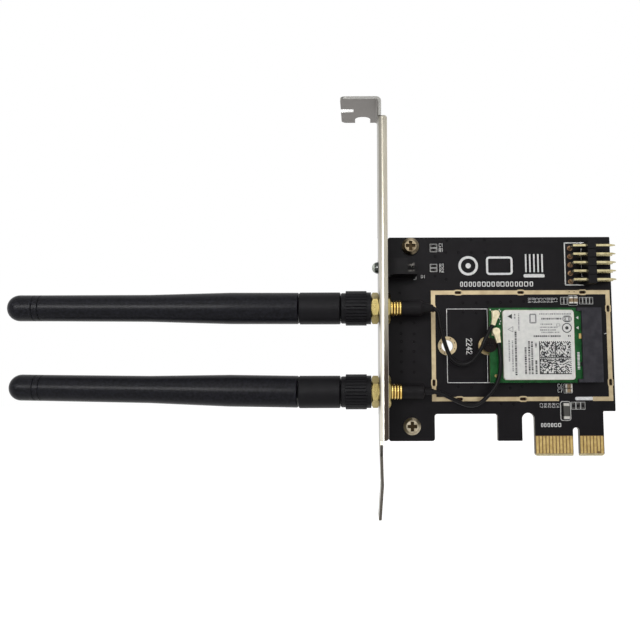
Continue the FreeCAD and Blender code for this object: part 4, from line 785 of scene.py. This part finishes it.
VIA_RADIUS, VIA_HOLE = 0.42, 0.14
VIA_HEIGHT = 0.02
VIA_PLACES = (
    (-37.3, 64.33), (-30.0, 64.49), (-25.95, 64.48), (-37.74, 60.68), (-33.91, 60.67), (-29.98, 60.66),
    (-25.91, 60.64), (-40.96, 59.44), (-41.03, 53.52), (-37.74, 52.48), (-51.69, 48.39), (-51.5, 39.35),
    (-47.5, 39.33), (-51.4, 36.1), (-47.5, 36.03), (-51.3, 33.8), (-47.55, 33.67), (-51.34, 30.88),
    (-47.58, 30.81), (-51.36, 27.72), (-47.61, 27.68), (-51.33, 24.75), (-47.58, 24.65), (-32.77, 45.34),
    (-28.84, 45.33), (-25.42, 45.41), (-21.55, 45.4), (-18.43, 45.66), (-14.56, 45.74), (-32.82, 42.33),
    (-28.9, 42.26), (-19.14, 19.87), (-15.66, 20.36), (-34.58, 20.3), (-30.64, 20.08), (-22.0, 15.2),
    (-18.3, 15.04),
)
STRIP_DRILL_PLACES = ((-0.84, 48.6), (0.66, 48.6), (-5.3, 16.55))
STRIP_DRILL_RADIUS = 0.16
RING_DRILL_COUNT = 8
RING_DRILL_RADIUS = 0.17
RING_DRILL_CIRCLE = 2.3
FIRST_HEADER_PAD = 61.84
HEADER_PAD_RING = (0.78, 0.5)
FIRST_HEADER_LEG = 61.9
HEADER_COLUMNS = 5
HEADER_ROWS = 2
EMPTY_HEADER_PLACE = (0, 0)
LIGHT_LEG_X = -47.7
LIGHT_LEG_HEIGHTS = (54.03, 56.57)
# Radius of a solder fillet at each height over the board's back
FILLET_PROFILE = ((0.86, -SUNK), (0.84, 0.05), (0.6, 0.2), (0.46, 0.5))
FILLET_STEPS = 20


def tented_vias():
    """Covered vias on both faces of the board."""
    mesh = bmesh.new()
    for x, z in VIA_PLACES:
        for layer in (BOARD_INK, on_back(VIA_HEIGHT)):
            add_ring(mesh, x, z, VIA_RADIUS, VIA_HOLE, layer, steps=20)
    finish_mesh("tented_vias", mesh, dark_via_and_hole_shade)


def strip_drills():
    """Dark discs as painted shade in the small holes of the guard strip and of the ring round the longer
    module's hole.
    """
    mesh = bmesh.new()
    for x, z in STRIP_DRILL_PLACES:
        add_prism(mesh, circle(x, z, STRIP_DRILL_RADIUS, steps=14), STRIP_DRILL)
    for turn in range(RING_DRILL_COUNT):
        angle = math.radians(360 / RING_DRILL_COUNT * (turn + 0.5))
        x = LONG_MODULE_HOLE[0] + RING_DRILL_CIRCLE * math.cos(angle)
        z = LONG_MODULE_HOLE[1] + RING_DRILL_CIRCLE * math.sin(angle)
        add_prism(mesh, circle(x, z, RING_DRILL_RADIUS, steps=14), STRIP_DRILL)
    finish_mesh("strip_drills", mesh, dark_via_and_hole_shade)


def header_pads():
    """Copper rings round the header's row of holes that lies farther from its body."""
    mesh = bmesh.new()
    for column in range(HEADER_COLUMNS):
        z = FIRST_HEADER_PAD - HEADER_PITCH * column
        add_ring(mesh, HEADER_HOLE_X, z, *HEADER_PAD_RING, BOARD_PAD, steps=24)
    finish_mesh("header_pads", mesh, copper)


def add_fillet(mesh, x, z):
    """Solder that climbs a lead on the back of the board."""
    loops = [[mesh.verts.new((px, BOARD_BACK + height, pz)) for px, pz in circle(x, z, radius, FILLET_STEPS)]
             for radius, height in FILLET_PROFILE]
    mesh.faces.new(loops[0][::-1])
    mesh.faces.new(loops[-1])
    for near, far in zip(loops, loops[1:]):
        for index in range(FILLET_STEPS):
            after = (index + 1) % FILLET_STEPS
            mesh.faces.new((near[index], near[after], far[after], far[index]))


def solder_fillets():
    """Fillets at the legs of the header and of the status light."""
    mesh = bmesh.new()
    for row in range(HEADER_ROWS):
        for column in range(HEADER_COLUMNS):
            if (row, column) != EMPTY_HEADER_PLACE:
                add_fillet(mesh, HEADER_HOLE_X + HEADER_PITCH * (1 - row),
                           FIRST_HEADER_LEG - HEADER_PITCH * column)
    for z in LIGHT_LEG_HEIGHTS:
        add_fillet(mesh, LIGHT_LEG_X, z)
    finish_mesh("solder_fillets", mesh, solder)


CONTACT_BLOCKS = ((-12.1, -1.0), (1.0, 8.1))
CONTACT_TOP = 5.9
CONTACT_CORNER = 0.1
BARE_HEIGHT = 0.008


def bare_contact_strip():
    """Bare laminate between the edge contacts, on both faces."""
    mesh = bmesh.new()
    for left, right in CONTACT_BLOCKS:
        outline = rounded(left, CONTACT_BEVEL_TOP, right, CONTACT_TOP, CONTACT_CORNER)
        for layer in (on_front(BOARD_FACE, BARE_HEIGHT), on_back(BARE_HEIGHT)):
            add_prism(mesh, outline, layer)
    finish_mesh("bare_contact_strip", mesh, laminate)


# Print on the module's label

# Each upright row is its x, reach along Z and seed; each level row its z, reach along X and seed
FAINT_UPRIGHT = ((-18.6, 40.1, 41.7, 2), (-17.45, 36.6, 41.6, 3), (-20.4, 27.6, 33.9, 4),
                 (-19.4, 24.7, 33.8, 5))
BOLD_UPRIGHT = ((-18.55, 23.6, 36.5, 6), (-15.75, 23.9, 31.7, 7), (-14.7, 23.9, 33.6, 8),
                (-13.85, 23.9, 33.4, 9), (-12.7, 23.9, 28.0, 10), (-12.7, 31.7, 33.0, 18))
FAINT_LEVEL = ((41.25, -11.2, -2.0, 11), (38.25, -10.9, -7.5, 13), (37.35, -11.1, -5.9, 14),
               (36.55, -11.1, -6.3, 15), (35.85, -10.7, -5.3, 16))
BOLD_LEVEL = ((39.8, -10.6, -4.8, 12), (34.7, -13.0, -4.9, 17), (34.75, -3.0, -2.2, 19))
FAINT_UPRIGHT_WIDTH, BOLD_UPRIGHT_WIDTH = 0.4, 0.58
FAINT_LEVEL_WIDTH, BOLD_LEVEL_WIDTH = 0.38, 0.48
SOLID_TRIANGLE = ((-20.55, 40.75), (-19.2, 40.0), (-19.2, 41.5))
OPEN_TRIANGLE = ((-20.4, 36.95), (-19.0, 36.2), (-19.0, 37.75), (-20.4, 36.95))
OPEN_TRIANGLE_LINE = 0.16
LABEL_TARGET = (-3.24, 37.34)
LABEL_TARGET_RING = (1.44, 1.17)
LABEL_TARGET_SPOT = 0.5
FIRST_LINK = (-3.5, 40.0)
LINK_RING = (0.95, 0.78)
LINK_COUNT = 3
LINK_STEP = 0.4
# Each outlined box is its corners, line width and corner radius
LABEL_BOXES = (
    ((-14.15, 38.65, -12.05, 41.55), 0.42, 0.4),
    ((-6.3, 37.8, -5.2, 38.6), 0.14, 0.1),
)
FIELD_CORNER = (-11.5, 23.85)
FIELD_SIZE = (9.3, 9.6)
FIELD_CELLS = 32
FIELD_BLOCK = 16
FIELD_FILL = 0.56
FIELD_SEED = 41


def add_cell_field(mesh):
    """A square field of random cells in four blocks, each with two solid and two dotted edges."""
    chance = random.Random(FIELD_SEED)
    cell_x, cell_z = (size / FIELD_CELLS for size in FIELD_SIZE)
    last = FIELD_BLOCK - 1
    for row in range(FIELD_CELLS):
        for column in range(FIELD_CELLS):
            u, v = column % FIELD_BLOCK, row % FIELD_BLOCK
            edge_on = u == 0 or v == 0 or (u == last and v % 2 == 0) or (v == last and u % 2 == 0)
            if edge_on or (u != last and v != last and chance.random() < FIELD_FILL):
                x, z = FIELD_CORNER[0] + column * cell_x, FIELD_CORNER[1] + row * cell_z
                add_rect(mesh, x, z, x + cell_x, z + cell_z, LABEL_INK)


def label_print():
    """Rows of dashes, plain figures and the field of cells, in strong and in faint ink."""
    bold, faint = bmesh.new(), bmesh.new()
    add_prism(bold, SOLID_TRIANGLE, LABEL_INK)
    add_stroke(faint, OPEN_TRIANGLE, OPEN_TRIANGLE_LINE, LABEL_INK)
    for mesh, rows, width in ((faint, FAINT_UPRIGHT, FAINT_UPRIGHT_WIDTH),
                              (bold, BOLD_UPRIGHT, BOLD_UPRIGHT_WIDTH)):
        for x, z0, z1, seed in rows:
            add_dashes(mesh, x, z0, x + width, z1, LABEL_INK, seed, upright=True)
    for mesh, rows, width in ((faint, FAINT_LEVEL, FAINT_LEVEL_WIDTH), (bold, BOLD_LEVEL, BOLD_LEVEL_WIDTH)):
        for z, x0, x1, seed in rows:
            add_dashes(mesh, x0, z, x1, z + width, LABEL_INK, seed)
    add_ring(bold, *LABEL_TARGET, *LABEL_TARGET_RING, LABEL_INK, steps=36)
    add_prism(bold, circle(*LABEL_TARGET, LABEL_TARGET_SPOT, steps=24), LABEL_INK)
    for place in range(LINK_COUNT):
        x, z = FIRST_LINK[0] + LINK_STEP * place, FIRST_LINK[1]
        add_ring(bold, x, z, *LINK_RING, LABEL_INK, steps=30)
    for box, width, radius in LABEL_BOXES:
        add_box_frame(faint, *box, width, LABEL_INK, radius)
    add_cell_field(bold)
    finish_mesh("label_print", bold, ink)
    finish_mesh("label_small_print", faint, faint_ink)


# Small parts and marks on the module's board

TEST_SPOT = (-23.84, 23.47)
TEST_SPOT_RADIUS = 0.45
PLATED_PART = (0.62, 34.3, 1.32, 35.8)
PLATED_PART_CORNER = 0.12
PLATED_PART_HEIGHT = 0.35
MODULE_ARROWS = ((0.35, 40.5), (0.35, 37.5))
ARROW_POINT, ARROW_FOOT, ARROW_HALF = 0.4, 0.32, 0.5
MODULE_DASHES = (0.05, 25.3, 0.72, 30.4)
MODULE_SPECKS = ((-22.55, 42.9), (-22.2, 42.45), (-22.5, 40.3), (-22.25, 39.5), (-22.5, 38.7),
                 (-25.2, 42.9), (-24.6, 39.0))
SPECK_HALF = (0.14, 0.2)


def module_gold_parts():
    """A round test spot and a small plated part."""
    mesh = bmesh.new()
    add_prism(mesh, circle(*TEST_SPOT, TEST_SPOT_RADIUS, steps=20), MODULE_INK)
    add_prism(mesh, rounded(*PLATED_PART, PLATED_PART_CORNER), on_front(MODULE_FACE, PLATED_PART_HEIGHT))
    finish_mesh("module_gold_parts", mesh, contact_gold)


def module_silk():
    """Two arrows, a row of dashes and specks round the receptacles."""
    mesh = bmesh.new()
    for x, z in MODULE_ARROWS:
        foot = x + ARROW_FOOT
        add_prism(mesh, [(x - ARROW_POINT, z), (foot, z - ARROW_HALF), (foot, z + ARROW_HALF)], MODULE_INK)
    add_dashes(mesh, *MODULE_DASHES, MODULE_INK, seed=21, upright=True)
    half_x, half_z = SPECK_HALF
    for x, z in MODULE_SPECKS:
        add_rect(mesh, x - half_x, z - half_z, x + half_x, z + half_z, MODULE_INK)
    finish_mesh("module_silk", mesh, silk)


for make_piece in (silk_lines, silk_bar, footprints, silk_references, silk_fields, tented_vias, strip_drills,
                   header_pads, solder_fillets, bare_contact_strip, label_print, module_gold_parts,
                   module_silk):
    make_piece()


# Studio, in metres and watts

WHITE = (1, 1, 1, 1)
AMBIENT = 0.36
FLOOR_HEIGHT = -0.075
FLOOR_HALF = 3.0
FLOOR_TONE = (0.8, 0.8, 0.8, 1)
FLOOR_GLOW = 0.74
FLOOR_ROUGHNESS = 0.9


def softbox(name, place, target, size, watts, spread=180):
    """A soft rectangular lamp aimed at a target, with its beam's spread in degrees."""
    data = bpy.data.lights.new(name, "AREA")
    data.shape = "RECTANGLE"
    data.size, data.size_y = size
    data.spread = math.radians(spread)
    data.energy = watts
    lamp = bpy.data.objects.new(name, data)
    lamp.location = place
    lamp.rotation_mode = "QUATERNION"
    lamp.rotation_quaternion = (Vector(target) - lamp.location).to_track_quat("-Z", "Y")
    scene.collection.objects.link(lamp)


def background_rays(tree):
    """One for the rays that show the white background: to the camera, in a reflection or through glass."""
    rays = tree.nodes.new("ShaderNodeLightPath")
    seen = calc(tree, "MAXIMUM", rays.outputs["Is Camera Ray"], rays.outputs["Is Glossy Ray"])
    return calc(tree, "MAXIMUM", seen, rays.outputs["Is Transmission Ray"])


def light_world():
    """White background over a dimmer even light."""
    world = bpy.data.worlds.new("studio")
    scene.world = world
    world.use_nodes = True
    tree = world.node_tree
    tree.nodes.clear()
    ambient = node(tree, "ShaderNodeBackground", Color=WHITE, Strength=AMBIENT)
    backdrop = node(tree, "ShaderNodeBackground", Color=WHITE, Strength=1.0)
    choose = tree.nodes.new("ShaderNodeMixShader")
    out = tree.nodes.new("ShaderNodeOutputWorld")
    tree.links.new(background_rays(tree), choose.inputs["Fac"])
    tree.links.new(ambient.outputs["Background"], choose.inputs[1])
    tree.links.new(backdrop.outputs["Background"], choose.inputs[2])
    tree.links.new(choose.outputs["Shader"], out.inputs["Surface"])


def lay_floor():
    """Pale floor that runs into the background and keeps the object's shadow."""
    mesh = bmesh.new()
    bmesh.ops.create_grid(mesh, x_segments=1, y_segments=1, size=FLOOR_HALF)
    data = bpy.data.meshes.new("floor")
    mesh.to_mesh(data)
    mesh.free()
    floor = bpy.data.objects.new("floor", data)
    floor.location = (0, 0, FLOOR_HEIGHT)
    scene.collection.objects.link(floor)
    finish = bpy.data.materials.new("pale_floor")
    finish.use_nodes = True
    tree = finish.node_tree
    pale = tree.nodes["Principled BSDF"]
    pale.inputs["Base Color"].default_value = FLOOR_TONE
    pale.inputs["Roughness"].default_value = FLOOR_ROUGHNESS
    pale.inputs["Emission Color"].default_value = WHITE
    glow = calc(tree, "MULTIPLY", background_rays(tree), FLOOR_GLOW)
    tree.links.new(glow, pale.inputs["Emission Strength"])
    data.materials.append(finish)


softbox("key", (-0.09, -0.8, 0.29), target=(-0.04, 0, 0.04), size=(0.38, 0.24), watts=0.52)
softbox("side", (-0.52, -0.8, 0.2), target=(-0.225, 0, 0.1), size=(0.46, 0.22), watts=0.27, spread=30)
softbox("fill", (0.3, -0.8, 0.29), target=(-0.03, 0, 0.04), size=(0.5, 0.28), watts=0.54)
softbox("strip", (-0.1, -0.6, 0.62), target=(-0.08, 0, 0.03), size=(0.9, 0.12), watts=1.3)
softbox("top", (-0.08, 0.1, 0.8), target=(-0.08, 0, 0.04), size=(0.7, 0.5), watts=0.4)
light_world()
lay_floor()


# Camera at the photograph's place

IMAGE_PIXELS = 640
FOCAL_PIXELS = 697.67
SHIFT_PIXELS = -40.17
SENSOR_WIDTH = 36.0
NEAR_CLIP = 0.01
CAMERA_PLACE = (-63.26, -208.73, 20.78)
CAMERA_PITCH, CAMERA_YAW, CAMERA_ROLL = 5.357, 0.093, -0.16


def camera_axes():
    """The camera's right, up and rear directions from its pitch, yaw and roll."""
    pitch, yaw, roll = (math.radians(angle) for angle in (CAMERA_PITCH, CAMERA_YAW, CAMERA_ROLL))
    right = Vector((math.cos(yaw), math.sin(yaw), 0))
    ahead = Vector((-math.sin(yaw) * math.cos(pitch), math.cos(yaw) * math.cos(pitch), math.sin(pitch)))
    up = right.cross(ahead)
    turned_right = right * math.cos(roll) + up * math.sin(roll)
    turned_up = up * math.cos(roll) - right * math.sin(roll)
    return Matrix((turned_right, turned_up, -ahead)).transposed()


def set_camera():
    """A pinhole camera whose focal length and shift are given in the photograph's pixels."""
    data = bpy.data.cameras.new("camera")
    data.sensor_width = SENSOR_WIDTH
    data.lens = SENSOR_WIDTH * FOCAL_PIXELS / IMAGE_PIXELS
    data.shift_x = SHIFT_PIXELS / IMAGE_PIXELS
    data.clip_start = NEAR_CLIP
    camera = bpy.data.objects.new("camera", data)
    camera.matrix_world = Matrix.Translation(Vector(CAMERA_PLACE) * MM) @ camera_axes().to_4x4()
    scene.collection.objects.link(camera)
    scene.camera = camera


set_camera()
scene.view_settings.view_transform = "Standard"
